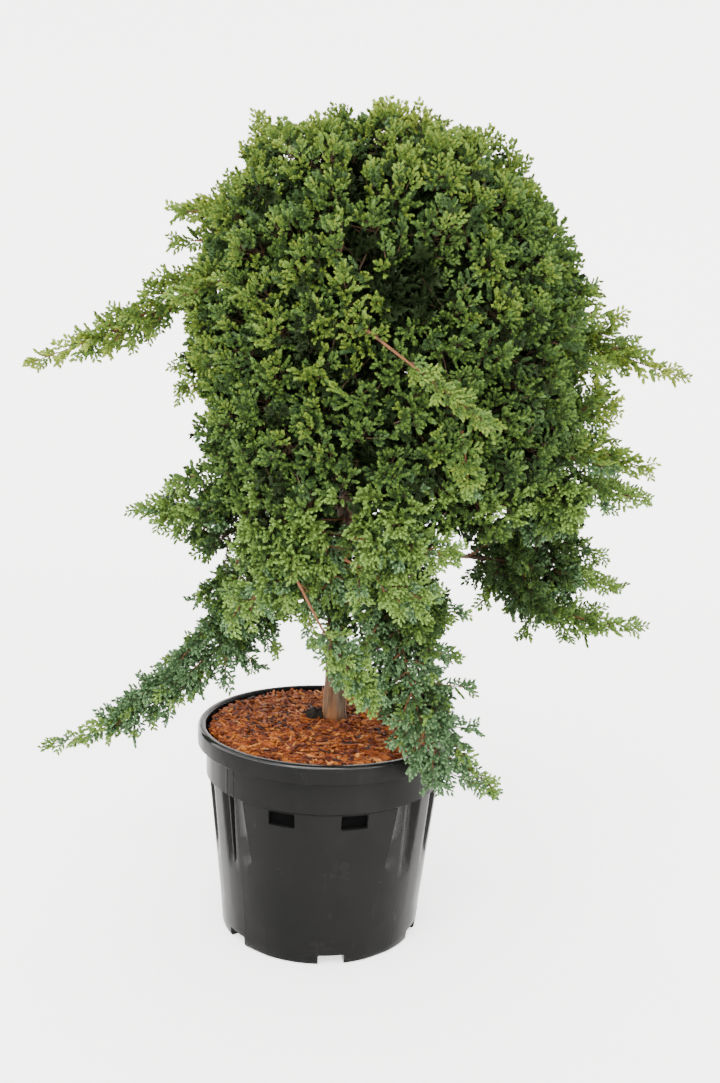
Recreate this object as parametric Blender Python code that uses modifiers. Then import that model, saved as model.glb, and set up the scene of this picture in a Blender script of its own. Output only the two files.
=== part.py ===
"""Standard juniper, grafted on a straight stem, in a black plastic nursery pot.

Metres, +Z up, X to the right as seen from the front, Y away from the front.
The origin is the middle of the pot's flat underside.
"""

import math
import random

import bmesh
import bpy
import numpy as np
from mathutils import Matrix, Vector
from mathutils.bvhtree import BVHTree

SEED = 11
CLEARANCE = 0.0003

# Pot: a nursery pot of about 15 litres
POT_HEIGHT = 0.250
RIM_RADIUS = 0.1545
LIP_HEIGHT = 0.022
LIP_WIDTH = 0.010
LIP_ROUND = 0.0032
BAND_RADIUS = 0.1435
BAND_BOTTOM = 0.190
BODY_TOP_RADIUS = 0.1400
BODY_LOW_RADIUS = 0.1232
BODY_LOW = 0.034
FOOT_RADIUS = 0.1180
FLOOR_THICKNESS = 0.016
WALL = 0.0028
BODY_WALL = 0.0092
LOW_WALL = 0.0060
FLUTE_DEPTH = 0.0065
FLUTE_FADE = 0.040
FLUTE_HALF_ANGLE = math.radians(5.0)
FLUTE_LOW_WIDTH = 0.45
FLUTE_COUNT = 5
FLUTE_PITCH = math.radians(20.25)
PANEL_HALF_ANGLE = math.radians(38.5)
PANEL_EDGE = math.radians(1.2)
PANEL_RISE = 0.0014
PANEL_STEPS = 6
NOTCH_COUNT = 6
NOTCH_FIRST = math.radians(-141.3)
NOTCH_WIDTH = 0.030
NOTCH_HEIGHT = 0.012
NOTCH_INNER = 0.055
POCKET_ANGLES = (math.radians(-17.5), math.radians(16.5))
POCKET_WIDTH = 0.031
POCKET_HEIGHT = 0.017
POCKET_DEPTH = 0.0050

# Bark mulch that fills the pot, heaped towards the stem
MULCH_TOP = 0.252
MULCH_SHOULDER = 0.2475
MULCH_EDGE = 0.2405
MULCH_RADIUS = 0.1413
MULCH_GAP = 0.0022
MULCH_STEPS = 24

# Stem, from the flat cut on the mulch up into the crown: place and radius
STEM = (
    (0.0095, 0.000, MULCH_TOP + CLEARANCE, 0.0172),
    (0.0095, 0.000, 0.262, 0.0152),
    (0.0098, 0.000, 0.300, 0.0132),
    (0.0108, 0.000, 0.400, 0.0118),
    (0.0150, -0.004, 0.500, 0.0108),
    (0.0240, -0.010, 0.600, 0.0098),
    (0.0350, -0.020, 0.700, 0.0080),
    (0.0450, -0.028, 0.800, 0.0050),
)
STEM_SIDES = 10

# Boughs: radius at the stem and at the tip, and how far each leaves the stem square to it
BOUGH_RADIUS = 0.0046
BOUGH_TIP_RADIUS = 0.0028
BOUGH_SIDES = 6
BOUGH_STEPS = 3
BOUGH_SQUARE = 0.004

# Crown: a squarish dome round its own middle, with a hollow round the stem
CROWN = Vector((0.056, -0.040, 0.662))
CROWN_HALF = Vector((0.244, 0.198, 0.300))
SKIN_POWER = 2.5
SKIN_STEPS = 16
HOLLOW = 0.062
SKIN_SHARE = 0.95
SHELL_SHARE = 0.74
MASS_GAP = 0.003
SPRAY_GAP = 0.0010
LIMB_GAP = 0.006
RIM_CLEAR = 0.262
RIM_CLEAR_RADIUS = 0.165
LUMP_LEVEL = 2
FOOT_SHARE = 0.92
GUARD_GAP = 0.0015
DRAW_TRIES = 9
DRAW_SHARE = 0.15
LUMP_ROUGHNESS = 0.14
LEAST_CORE = 0.006

# Tiers of the dome: name, how many masses, azimuth of the first, elevation, lowest bough on the stem
TIERS = (
    ("crest", 4, 30, 47, None),
    ("shoulder", 6, 190, 15, 0.640),
    ("flank", 6, -130, -22, 0.545),
)
TOP_MASS_SHARE = 0.72
BOUGH_STAGGER = 0.0125

# Hanging masses: middle, half sizes, and where the bough leaves the stem
HANGING = {
    "left_curtain": ((-0.108, -0.030, 0.508), (0.062, 0.074, 0.074), 0.515),
    "front_left_curtain": ((-0.034, -0.128, 0.485), (0.076, 0.062, 0.082), 0.500),
    "front_curtain": ((0.070, -0.148, 0.512), (0.070, 0.058, 0.072), 0.515),
    "right_curtain": ((0.245, -0.060, 0.540), (0.062, 0.068, 0.058), 0.500),
    "back_right_curtain": ((0.200, 0.078, 0.548), (0.066, 0.056, 0.046), 0.485),
    "back_left_curtain": ((-0.030, 0.085, 0.520), (0.078, 0.058, 0.058), 0.485),
    "right_hanging": ((0.238, 0.030, 0.450), (0.082, 0.058, 0.078), 0.470),
    "front_spray": ((0.002, -0.140, 0.396), (0.044, 0.036, 0.046), 0.470),
    "upper_skirt": ((0.090, -0.108, 0.404), (0.064, 0.052, 0.072), 0.450),
    "lower_skirt": ((0.098, -0.102, 0.318), (0.070, 0.052, 0.054), 0.430),
    "low_left": ((-0.108, -0.008, 0.390), (0.054, 0.050, 0.068), 0.450),
}

# Arms: long shoots out of a mass, with their start, tip, sag and half width at the start
ARMS = (
    ("crest_3", (-0.118, -0.035, 0.846), (-0.182, -0.030, 0.838), 0.000, 0.032),
    ("shoulder_1", (-0.160, -0.044, 0.746), (-0.344, -0.040, 0.667), 0.000, 0.040),
    ("shoulder_4", (0.280, -0.058, 0.712), (0.382, -0.046, 0.679), -0.002, 0.028),
    ("flank_3", (0.285, -0.060, 0.596), (0.356, -0.050, 0.576), 0.002, 0.030),
    ("flank_3", (0.262, -0.055, 0.636), (0.312, -0.050, 0.646), 0.000, 0.044),
    ("right_curtain", (0.288, -0.055, 0.556), (0.354, -0.050, 0.543), 0.004, 0.026),
    ("left_curtain", (-0.145, -0.030, 0.512), (-0.224, -0.030, 0.505), 0.006, 0.034),
    ("low_left", (-0.122, -0.009, 0.350), (-0.336, -0.012, 0.210), 0.018, 0.050),
    ("right_hanging", (0.252, 0.030, 0.400), (0.380, 0.030, 0.376), 0.008, 0.034),
    ("right_hanging", (0.292, 0.030, 0.440), (0.348, 0.030, 0.424), 0.002, 0.022),
    ("lower_skirt", (0.134, -0.124, 0.292), (0.193, -0.132, 0.223), 0.000, 0.038),
    ("front_spray", (0.016, -0.150, 0.372), (0.049, -0.158, 0.322), 0.000, 0.028),
    ("front_left_curtain", (-0.050, -0.132, 0.432), (-0.096, -0.118, 0.415), 0.000, 0.022),
)
ARM_STEP = 0.048
ARM_TIP_HALF_WIDTH = 0.010
ARM_STEM_RADIUS = 0.0026
ARM_SIDES = 6
PLUME_SHARE = 0.62
PLUME_WAIST = 0.50

# Sprays of needles: a blade toothed on both edges, as shares of its length and half width
TEETH = ((0.02, 0.10), (0.40, 1.00), (0.52, 0.48), (0.74, 0.66))
PLAIN_TEETH = ((0.02, 0.10), (0.55, 1.00))
BLADE_MIDDLE = 0.50
SWELL = 1.12
FREE_ROOT = 0.35
BLADE_HALF_WIDTH = 0.42
BLADE_HALF_THICKNESS = 0.060
DOME_SPRAYS = 9
HANGING_SPRAYS = 9
SPRAY_ROOT = 0.022
SPRAY_STAND = (0.96, 1.02)
LEAST_SPRAY = 0.022
HANGING_SPRAY = 0.010
SPRAY_BEND = 0.35
SPRAY_RISE = 0.25
SPRAY_DROOP = 0.15
FURTHEST_SKIN = 0.125
TWIG_RADIUS = 0.0022


def material(name, colour, roughness):
    """A plain Principled material."""
    made = bpy.data.materials.new(name)
    made.use_nodes = True
    shader = made.node_tree.nodes["Principled BSDF"]
    shader.inputs["Base Color"].default_value = (*colour, 1.0)
    shader.inputs["Roughness"].default_value = roughness
    return made


def new_object(name, mesh, collection, surface=None):
    made = bpy.data.objects.new(name, mesh)
    collection.objects.link(made)
    if surface:
        mesh.materials.clear()
        mesh.materials.append(surface)
    return made


def evaluated_copy(source, name, collection, surface=None):
    """A plain mesh object of what the source's modifiers or bevel make."""
    bpy.context.view_layer.update()
    graph = bpy.context.evaluated_depsgraph_get()
    mesh = bpy.data.meshes.new_from_object(source.evaluated_get(graph))
    mesh.transform(source.matrix_world)
    return new_object(name, mesh, collection, surface)


def discard(*objects):
    for gone in objects:
        bpy.data.objects.remove(gone)


def smooth(made, angle=40):
    made.data.shade_smooth()
    made.data.set_sharp_from_angle(angle=math.radians(angle))


def turned(name, profile, steps, collection, surface):
    """A solid of revolution: the profile runs from the axis, down the outside, back to the axis."""
    mesh = bpy.data.meshes.new(name)
    bm = bmesh.new()
    corners = [bm.verts.new((radius, 0, height)) for radius, height in profile]
    for first, second in zip(corners, corners[1:]):
        bm.edges.new((first, second))
    bm.to_mesh(mesh)
    bm.free()
    made = new_object(name, mesh, collection, surface)
    screw = made.modifiers.new("Turn", "SCREW")
    screw.steps = screw.render_steps = steps
    screw.use_merge_vertices = True
    screw.merge_threshold = 0.00005
    return made


def box(name, size, place, turn, collection):
    mesh = bpy.data.meshes.new(name)
    bm = bmesh.new()
    bmesh.ops.create_cube(bm, size=1)
    bmesh.ops.scale(bm, vec=size, verts=bm.verts)
    bmesh.ops.translate(bm, vec=place, verts=bm.verts)
    bmesh.ops.rotate(bm, matrix=Matrix.Rotation(turn, 3, "Z"), verts=bm.verts)
    bm.to_mesh(mesh)
    bm.free()
    made = new_object(name, mesh, collection)
    made.hide_render = True
    made.display_type = "WIRE"
    return made


# Pot


def flute_angles():
    """Azimuths of the flutes' middles: five on each side, none on the front and back panels."""
    middle = (FLUTE_COUNT - 1) / 2
    return [side + (i - middle) * FLUTE_PITCH for side in (0, math.pi) for i in range(FLUTE_COUNT)]


def pot_meridians():
    """Azimuth of each meridian of the pot: (azimuth, flute middle or None, share of the half width)."""
    rows = []
    for middle in flute_angles():
        for share in (-1, -0.45, 0.45, 1):
            rows.append((middle + share * FLUTE_HALF_ANGLE, middle, share))
    for panel in (-math.pi / 2, math.pi / 2):
        for side in (-1, 1):
            rows.append((panel + side * (PANEL_HALF_ANGLE + PANEL_EDGE), None, 0))
        for i in range(PANEL_STEPS + 1):
            rows.append((panel + (2 * i / PANEL_STEPS - 1) * PANEL_HALF_ANGLE, None, 1))
    return sorted((angle % math.tau, middle, share) for angle, middle, share in rows)


def flute_strength(height):
    """How deep a flute is at this height: full under the band, nothing at the foot."""
    if height > BAND_BOTTOM - 0.0001:
        return 0.0
    return max(0.0, min(1.0, (height - FLUTE_FADE) / (BAND_BOTTOM - FLUTE_FADE)))


def make_pot(collection, cutters, surface):
    band_in = BAND_RADIUS - WALL
    body_in = BODY_TOP_RADIUS - BODY_WALL
    low_in = BODY_LOW_RADIUS - LOW_WALL
    lip_in = RIM_RADIUS - LIP_WIDTH
    lip_bottom = POT_HEIGHT - LIP_HEIGHT
    profile = (
        (0, FLOOR_THICKNESS),
        (low_in - 0.012, FLOOR_THICKNESS),
        (low_in, BODY_LOW),
        (body_in, BAND_BOTTOM - 0.002),
        (band_in, lip_bottom + 0.003),
        (lip_in, POT_HEIGHT - LIP_ROUND),
        (lip_in + LIP_ROUND, POT_HEIGHT),
        (RIM_RADIUS - LIP_ROUND, POT_HEIGHT),
        (RIM_RADIUS, POT_HEIGHT - LIP_ROUND),
        (RIM_RADIUS, lip_bottom),
        (BAND_RADIUS + 0.001, lip_bottom - 0.0005),
        (BAND_RADIUS, BAND_BOTTOM),
        (BODY_TOP_RADIUS, BAND_BOTTOM - 0.0015),
        (BODY_LOW_RADIUS, BODY_LOW),
        (BODY_LOW_RADIUS - 0.0014, 0.014),
        (FOOT_RADIUS + 0.0028, 0.0035),
        (FOOT_RADIUS, 0),
        (0, 0),
    )
    meridians = pot_meridians()
    pot = turned("pot", profile, len(meridians), collection, surface)
    shaped = evaluated_copy(pot, "pot_shape", collection, surface)
    discard(pot)
    step = math.tau / len(meridians)
    for vertex in shaped.data.vertices:
        x, y, z = vertex.co
        radius = math.hypot(x, y)
        if radius < 0.001:
            continue
        angle, middle, share = meridians[round(math.atan2(y, x) % math.tau / step) % len(meridians)]
        outside = radius > body_in + 0.001 or z < BODY_LOW + 0.001 and radius > low_in + 0.001
        strength = flute_strength(z) if outside else 0.0
        if middle is not None and outside:
            narrow = FLUTE_LOW_WIDTH + (1 - FLUTE_LOW_WIDTH) * flute_strength(min(z, BAND_BOTTOM - 0.0015))
            angle = middle + share * FLUTE_HALF_ANGLE * narrow
            if abs(share) < 1:
                radius -= FLUTE_DEPTH * strength
        elif middle is None and share and BODY_LOW / 2 < z < BAND_BOTTOM and outside:
            radius += PANEL_RISE * min(1.0, strength * 4)
        vertex.co = (radius * math.cos(angle), radius * math.sin(angle), z)
    for i in range(NOTCH_COUNT):
        turn = NOTCH_FIRST + i * math.tau / NOTCH_COUNT
        reach = 0.150
        size = (reach - NOTCH_INNER, NOTCH_WIDTH, 2 * NOTCH_HEIGHT)
        box(f"notch_{i + 1}", size, ((reach + NOTCH_INNER) / 2, 0, 0), turn, cutters)
    for side, panel in (("front", -math.pi / 2), ("back", math.pi / 2)):
        for i, offset in enumerate(POCKET_ANGLES):
            size = (POCKET_DEPTH * 2, POCKET_WIDTH, POCKET_HEIGHT)
            radius = BODY_TOP_RADIUS
            height = BAND_BOTTOM - 0.0022 - POCKET_HEIGHT / 2
            box(f"pocket_{side}_{i + 1}", size, (radius, 0, height), panel + offset, cutters)
    cut = shaped.modifiers.new("Notches and pockets", "BOOLEAN")
    cut.operation = "DIFFERENCE"
    cut.operand_type = "COLLECTION"
    cut.collection = cutters
    finished = evaluated_copy(shaped, "pot", collection, surface)
    discard(shaped)
    smooth(finished)
    return finished


def make_mulch(collection, surface):
    band_in = BAND_RADIUS - WALL - MULCH_GAP
    body_in = BODY_TOP_RADIUS - BODY_WALL - MULCH_GAP
    low_in = BODY_LOW_RADIUS - LOW_WALL - MULCH_GAP
    profile = (
        (0, MULCH_TOP),
        (0.030, MULCH_TOP),
        (0.090, MULCH_SHOULDER),
        (MULCH_RADIUS, MULCH_EDGE),
        (band_in, POT_HEIGHT - LIP_HEIGHT + 0.004),
        (body_in, BAND_BOTTOM - 0.003),
        (low_in, BODY_LOW + 0.006),
        (low_in - 0.016, FLOOR_THICKNESS + CLEARANCE),
        (0, FLOOR_THICKNESS + CLEARANCE),
    )
    mulch = turned("mulch", profile, MULCH_STEPS, collection, surface)
    smooth(mulch)
    return mulch


# Stem and boughs


def limb(name, path, sides, collection, surface):
    """A tapering limb through places with their radius, closed by flat ends."""
    curve = bpy.data.curves.new(name, "CURVE")
    curve.dimensions = "3D"
    curve.bevel_depth = 1.0
    curve.bevel_resolution = (sides - 4) // 2
    curve.use_fill_caps = True
    spline = curve.splines.new("POLY")
    spline.points.add(len(path) - 1)
    for point, (place, radius) in zip(spline.points, path):
        point.co = (*place, 1.0)
        point.radius = radius
    guide = new_object(name + "_guide", curve, collection)
    made = evaluated_copy(guide, name, collection, surface)
    discard(guide)
    bm = bmesh.new()
    bm.from_mesh(made.data)
    bmesh.ops.remove_doubles(bm, verts=bm.verts, dist=0.00001)
    bmesh.ops.recalc_face_normals(bm, faces=bm.faces)
    bm.to_mesh(made.data)
    bm.free()
    return made


def stem_at(height):
    """The stem's middle, radius and direction at this height."""
    low, high = next(pair for pair in zip(STEM, STEM[1:]) if height <= pair[1][2])
    share = max(0.0, (height - low[2]) / (high[2] - low[2]))
    start, end = Vector(low[:3]), Vector(high[:3])
    return start.lerp(end, share), low[3] + (high[3] - low[3]) * share, (end - start).normalized()


def stem_side(height, towards):
    """Where something meets the stem's side at this height, and the way it leaves square to the stem."""
    middle, radius, up = stem_at(height)
    out = towards - middle
    out = (out - up * out.dot(up)).normalized()
    return middle + out * (radius + CLEARANCE), out


def bough_path(leave, mass):
    """Places and radii of a bough, square to the stem at first and along the mass's own line at its tip."""
    tip, along = mass["foot"], mass["along"]
    start, out = stem_side(leave, tip)
    first = start + out * BOUGH_SQUARE
    last = tip - along * BOUGH_SQUARE
    pull = 0.35 * (last - first).length
    bends = (first, first + out * pull, last - along * pull, last)
    places = [start]
    for i in range(BOUGH_STEPS + 1):
        t = i / BOUGH_STEPS
        weights = ((1 - t) ** 3, 3 * t * (1 - t) ** 2, 3 * t * t * (1 - t), t ** 3)
        places.append(sum((w * p for w, p in zip(weights, bends)), Vector()))
    places.append(tip)
    share = 1 / (len(places) - 1)
    taper = BOUGH_RADIUS - BOUGH_TIP_RADIUS
    return [(place, BOUGH_RADIUS - taper * i * share) for i, place in enumerate(places)]


# Masses of foliage


def plan_masses():
    """Each mass with its seeds, its half sizes, and where its bough leaves the stem."""
    masses = {}
    top = CROWN + Vector((0, 0, CROWN_HALF.z * TOP_MASS_SHARE))
    masses["top"] = {"seed": top, "half": None, "leave": None}
    for tier, count, first, elevation, lowest in TIERS:
        lift = math.radians(elevation)
        for i in range(count):
            turn = math.radians(first + i * 360 / count)
            out = Vector((math.cos(lift) * math.cos(turn), math.cos(lift) * math.sin(turn), math.sin(lift)))
            seed = CROWN + SHELL_SHARE * out * CROWN_HALF
            leave = lowest and lowest + (i * 3 % count) * BOUGH_STAGGER
            masses[f"{tier}_{i + 1}"] = {"seed": seed, "half": None, "leave": leave}
    for name, (seed, half, leave) in HANGING.items():
        masses[name] = {"seed": Vector(seed), "half": Vector(half), "leave": leave}
    for name, mass in masses.items():
        mass["name"] = name
        mass["arms"] = [arm_places(*arm[1:]) for arm in ARMS if arm[0] == name]
        mass["seeds"] = [mass["seed"]] + [place for arm in mass["arms"] for place, _ in arm]
    return masses


def set_foot(mass, space):
    """Where the mass's own stem starts inside its space, and the direction in which it goes in."""
    seed = mass["seed"]
    if mass["name"] == "top":
        mass["along"] = stem_at(STEM[-1][2])[2]
        mass["foot"] = Vector(STEM[-1][:3])
        return
    if mass["leave"] is None:
        mass["foot"], mass["along"] = stem_side(min(STEM[-1][2], seed.z) - 0.045, seed)
        return
    middle = stem_at(mass["leave"])[0]
    along = (seed - middle).normalized()
    if mass["half"] is None:
        level = Vector((seed.x - middle.x, seed.y - middle.y, 0))
        back = (level.length - HOLLOW) / max(0.2, along.dot(level.normalized()))
    else:
        back = skin_distance(seed, -along, seed, mass["half"], FOOT_SHARE)
    mass["along"] = along
    mass["foot"] = seed - along * min(back, space.cell_limit(seed, -along, mass["name"]) - LIMB_GAP)


def arm_places(start, tip, sag, half_width):
    """Places along an arm and the half width of its sprays there."""
    start, tip = Vector(start), Vector(tip)
    count = max(2, round((tip - start).length / ARM_STEP))
    places = []
    for i in range(count + 1):
        t = i / count
        drop = Vector((0, 0, -4 * sag * t * (1 - t)))
        places.append((start.lerp(tip, t) + drop, half_width + (ARM_TIP_HALF_WIDTH - half_width) * t))
    return places


class Space:
    """Who owns which part of the crown: every seed with its mass, and every limb with its radius."""

    def __init__(self, masses):
        rows = [(mass["name"], seed) for mass in masses.values() for seed in mass["seeds"]]
        self.owners = np.array([name for name, _ in rows])
        self.seeds = np.array([seed for _, seed in rows])

    def take_limbs(self, limbs):
        ends = [pair for path in limbs for pair in zip(path, path[1:])]
        self.low = np.array([low for (low, _), _ in ends])
        self.run = np.array([high - low for (low, _), (high, _) in ends])
        self.low_radius = np.array([radius for (_, radius), _ in ends])
        self.growth = np.array([high - low for (_, low), (_, high) in ends])

    def owned(self, points, name):
        """True where every point is nearer to this mass than to any other, and clear of the pot."""
        points = np.array(points)
        apart = np.linalg.norm(points[:, None] - self.seeds[None], axis=2)
        mine = apart[:, self.owners == name].min(axis=1)
        theirs = apart[:, self.owners != name].min(axis=1)
        low = (np.hypot(points[:, 0], points[:, 1]) < RIM_CLEAR_RADIUS) & (points[:, 2] < RIM_CLEAR)
        return bool((mine + 2 * SPRAY_GAP < theirs).all() and not low.any())

    def cell_limit(self, seed, direction, name):
        """How far the convex cell of one seed goes in a direction."""
        apart = self.seeds[self.owners != name] - np.array(seed)
        length = np.linalg.norm(apart, axis=1)
        rate = apart @ np.array(direction) / length
        ahead = rate > 0.0001
        return float(((length[ahead] - MASS_GAP) / 2 / rate[ahead]).min(initial=CROWN_HALF.z))

    def limb_gap(self, points):
        """How far each point is from the nearest limb's side."""
        off = points[:, None] - self.low[None]
        share = np.clip((off * self.run).sum(axis=2) / (self.run ** 2).sum(axis=1), 0, 1)
        apart = np.linalg.norm(off - share[:, :, None] * self.run, axis=2)
        return (apart - self.low_radius - share * self.growth).min(axis=1)

    def limb_limit(self, seed, direction, furthest):
        """How far a ray may go before it comes near a limb or the pot."""
        steps = np.arange(0.004, furthest + 0.004, 0.004)
        points = np.array(seed) + steps[:, None] * np.array(direction)
        over_pot = np.hypot(points[:, 0], points[:, 1]) < RIM_CLEAR_RADIUS
        blocked = self.limb_gap(points) < LIMB_GAP
        blocked |= over_pot & (points[:, 2] < RIM_CLEAR + LIMB_GAP)
        return float(steps[blocked.argmax()] - 0.004) if blocked.any() else furthest

    def room(self, place, name):
        """The radius of a ball here that keeps to this mass's space, clear of every limb and of the pot."""
        apart = np.linalg.norm(self.seeds - np.array(place), axis=1)
        cell = (apart[self.owners != name].min() - apart[self.owners == name].min() - MASS_GAP) / 2
        outside = max(0.0, math.hypot(place.x, place.y) - RIM_RADIUS)
        off_pot = math.hypot(outside, max(0.0, place.z - MULCH_TOP))
        return float(min(cell, off_pot - LIMB_GAP, self.limb_gap(np.array([place]))[0] - LIMB_GAP))


def skin_distance(seed, direction, middle, half, share):
    """How far it is along a direction to a squarish ellipsoid's surface, drawn in by this share."""
    power = SKIN_POWER if middle is CROWN else 2
    near, far = 0.0, 2 * CROWN_HALF.z
    for _ in range(SKIN_STEPS):
        reach = (near + far) / 2
        off = seed + direction * reach - middle
        level = math.hypot(off.x / half.x, off.y / half.y) ** power + abs(off.z / half.z) ** power
        near, far = (reach, far) if level < share ** power else (near, reach)
    return near


def core_limit(seed, direction, mass, half, space):
    """How far a core may go in a direction: to its neighbours, its skin, its foot and the limbs."""
    middle, size = (CROWN, CROWN_HALF) if half is None else (seed, half)
    skin = skin_distance(seed, direction, middle, size, SKIN_SHARE)
    limit = min(skin, space.cell_limit(seed, direction, mass["name"]))
    inward = -direction.dot(mass["along"])
    if inward > 0.0001:
        limit = min(limit, ((seed - mass["foot"]).dot(mass["along"]) - LIMB_GAP) / inward)
    return space.limb_limit(seed, direction, limit)


def make_core(mass, space, guards, rule, collection):
    """A lumpy solid round a mass's seed that fills its space."""
    seed, half = mass["seed"], mass["half"]
    bm = bmesh.new()
    bmesh.ops.create_icosphere(bm, subdivisions=LUMP_LEVEL, radius=1)
    turn = Matrix.Rotation(rule.uniform(0, math.tau), 3, "Z") @ Matrix.Rotation(rule.uniform(0, 1), 3, "X")
    for vertex in bm.verts:
        direction = (turn @ vertex.co).normalized()
        limit = core_limit(seed, direction, mass, half, space)
        vertex.co = seed + direction * max(LEAST_CORE, limit * (1 - rule.random() * LUMP_ROUGHNESS))
    draw_in(bm, seed, guards)
    mesh = bpy.data.meshes.new("core")
    bm.to_mesh(mesh)
    bm.free()
    return new_object("core", mesh, collection)


def draw_in(bm, seed, guards):
    """Pulls the faces that a limb goes through back towards the seed."""
    for _ in range(DRAW_TRIES):
        tree = BVHTree.FromBMesh(bm)
        touched = {i for guard in guards for i, _ in tree.overlap(guard)}
        bm.faces.ensure_lookup_table()
        for vertex in {v for i in touched for v in bm.faces[i].verts}:
            vertex.co = vertex.co.lerp(seed, DRAW_SHARE)


def blade_template(teeth):
    """A flat blade of length 1 and half width 1 with teeth on both edges, thickest at its middle."""
    bm = bmesh.new()
    left = list(teeth)
    outline = left + [(1.0, 0.0)] + [(u, -v) for u, v in reversed(left)]
    face = bm.faces.new([bm.verts.new((u, v, 0)) for u, v in outline])
    top = bmesh.ops.poke(bm, faces=[face])["verts"][0]
    top.co = (BLADE_MIDDLE, 0, 1)
    bmesh.ops.mirror(bm, geom=bm.verts[:] + bm.edges[:] + bm.faces[:], axis="Z", merge_dist=0.0001)
    bmesh.ops.recalc_face_normals(bm, faces=bm.faces)
    mesh = bpy.data.meshes.new("blade")
    bm.to_mesh(mesh)
    bm.free()
    return mesh


def blade_matrix(root, tip, roll, half_width):
    along = (tip - root).normalized()
    side = along.orthogonal().normalized()
    side.rotate(Matrix.Rotation(roll, 3, along))
    up = along.cross(side)
    length = (tip - root).length
    columns = (along * length, side * half_width, up * length * BLADE_HALF_THICKNESS)
    matrix = Matrix((*[c.to_4d() for c in columns], root.to_4d())).transposed()
    matrix[3] = (0, 0, 0, 1)
    return matrix


def mesh_tree(mesh):
    places = [vertex.co.copy() for vertex in mesh.vertices]
    return BVHTree.FromPolygons(places, [tuple(face.vertices) for face in mesh.polygons])


class Sprays:
    """Places blades where they keep to their mass's space and touch nothing of another node."""

    def __init__(self, space, guards):
        self.space = space
        self.limbs = guards
        self.bodies = {}
        self.plain = blade_template(PLAIN_TEETH)
        self.toothed = blade_template(TEETH)

    def add_body(self, mass_name, mesh):
        self.bodies.setdefault(mass_name, []).append(mesh_tree(mesh))

    def place(self, template, mass, root, tip, roll, half_width, collection):
        """Adds a blade from root to tip, or nothing where it would leave its space."""
        matrix = blade_matrix(root, tip, roll, half_width)
        points = [matrix @ v.co for v in template.vertices]
        outer = [point for point, v in zip(points, template.vertices) if v.co.x > FREE_ROOT]
        if not self.space.owned(outer, mass["name"]):
            return False
        middle = sum(points, Vector()) / len(points)
        swollen = [middle + (p - middle) * SWELL for p in points]
        tree = BVHTree.FromPolygons(swollen, [tuple(face.vertices) for face in template.polygons])
        if any(tree.overlap(other) for other in self.limbs):
            return False
        for name, trees in self.bodies.items():
            if name != mass["name"] and any(tree.overlap(other) for other in trees):
                return False
        mesh = template.copy()
        mesh.transform(matrix)
        new_object("spray", mesh, collection)
        self.add_body(mass["name"], mesh)
        return True


def even_directions(count, rule):
    """Directions spread evenly over a sphere, turned by chance."""
    turn = rule.uniform(0, math.tau)
    for i in range(count):
        z = 1 - (2 * i + 1) / count
        angle = i * math.pi * (3 - math.sqrt(5)) + turn
        flat = math.sqrt(1 - z * z)
        yield Vector((flat * math.cos(angle), flat * math.sin(angle), z))


def lump_skin(mass, direction):
    """How far a mass's sprays and its core reach in a direction, and how much the sprays rise."""
    seed, half = mass["seed"], mass["half"]
    if half is None:
        outer = skin_distance(seed, direction, CROWN, CROWN_HALF, 1)
        return outer, skin_distance(seed, direction, CROWN, CROWN_HALF, SKIN_SHARE), SPRAY_RISE
    outer = skin_distance(seed, direction, seed, half, 1) + HANGING_SPRAY
    return outer, outer * SKIN_SHARE - HANGING_SPRAY, -SPRAY_DROOP


def dress_lump(mass, sprays, rule, collection):
    """Sprays that stand out of a mass's core, to the crown's true outline."""
    seed = mass["seed"]
    wanted, spread = (DOME_SPRAYS, 5) if mass["half"] is None else (HANGING_SPRAYS, 2)
    placed = 0
    for direction in even_directions(wanted * spread, rule):
        outer, inner, rise = lump_skin(mass, direction)
        if placed == wanted or outer > FURTHEST_SKIN:
            continue
        bend = Vector([rule.uniform(-SPRAY_BEND, SPRAY_BEND) for _ in range(3)])
        lean = (direction + bend + Vector((0, 0, rise))).normalized()
        tip = seed + direction * outer * rule.uniform(*SPRAY_STAND)
        length = max(LEAST_SPRAY, outer - inner + SPRAY_ROOT)
        root = tip - lean * length * rule.uniform(1.0, 1.2)
        turn = rule.uniform(0, math.pi)
        width = (tip - root).length * BLADE_HALF_WIDTH
        placed += sprays.place(sprays.plain, mass, root, tip, turn, width, collection)


def arm_plume(mass, arm, space):
    """Places and radii of an arm's plume: it swells at each place and narrows between them."""
    start = mass["seed"].lerp(arm[0][0], 0.35)
    path = [(start, ARM_STEM_RADIUS)]
    for i, (place, half_width) in enumerate(arm[:-1]):
        between = place.lerp(arm[i + 1][0], 0.55)
        path.append((place, half_width * PLUME_SHARE))
        path.append((between, half_width * PLUME_SHARE * PLUME_WAIST))
    path.append((arm[-1][0], ARM_STEM_RADIUS))
    held = [(place, min(radius, space.room(place, mass["name"]))) for place, radius in path]
    return [(place, max(ARM_STEM_RADIUS, radius)) for place, radius in held]


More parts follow.
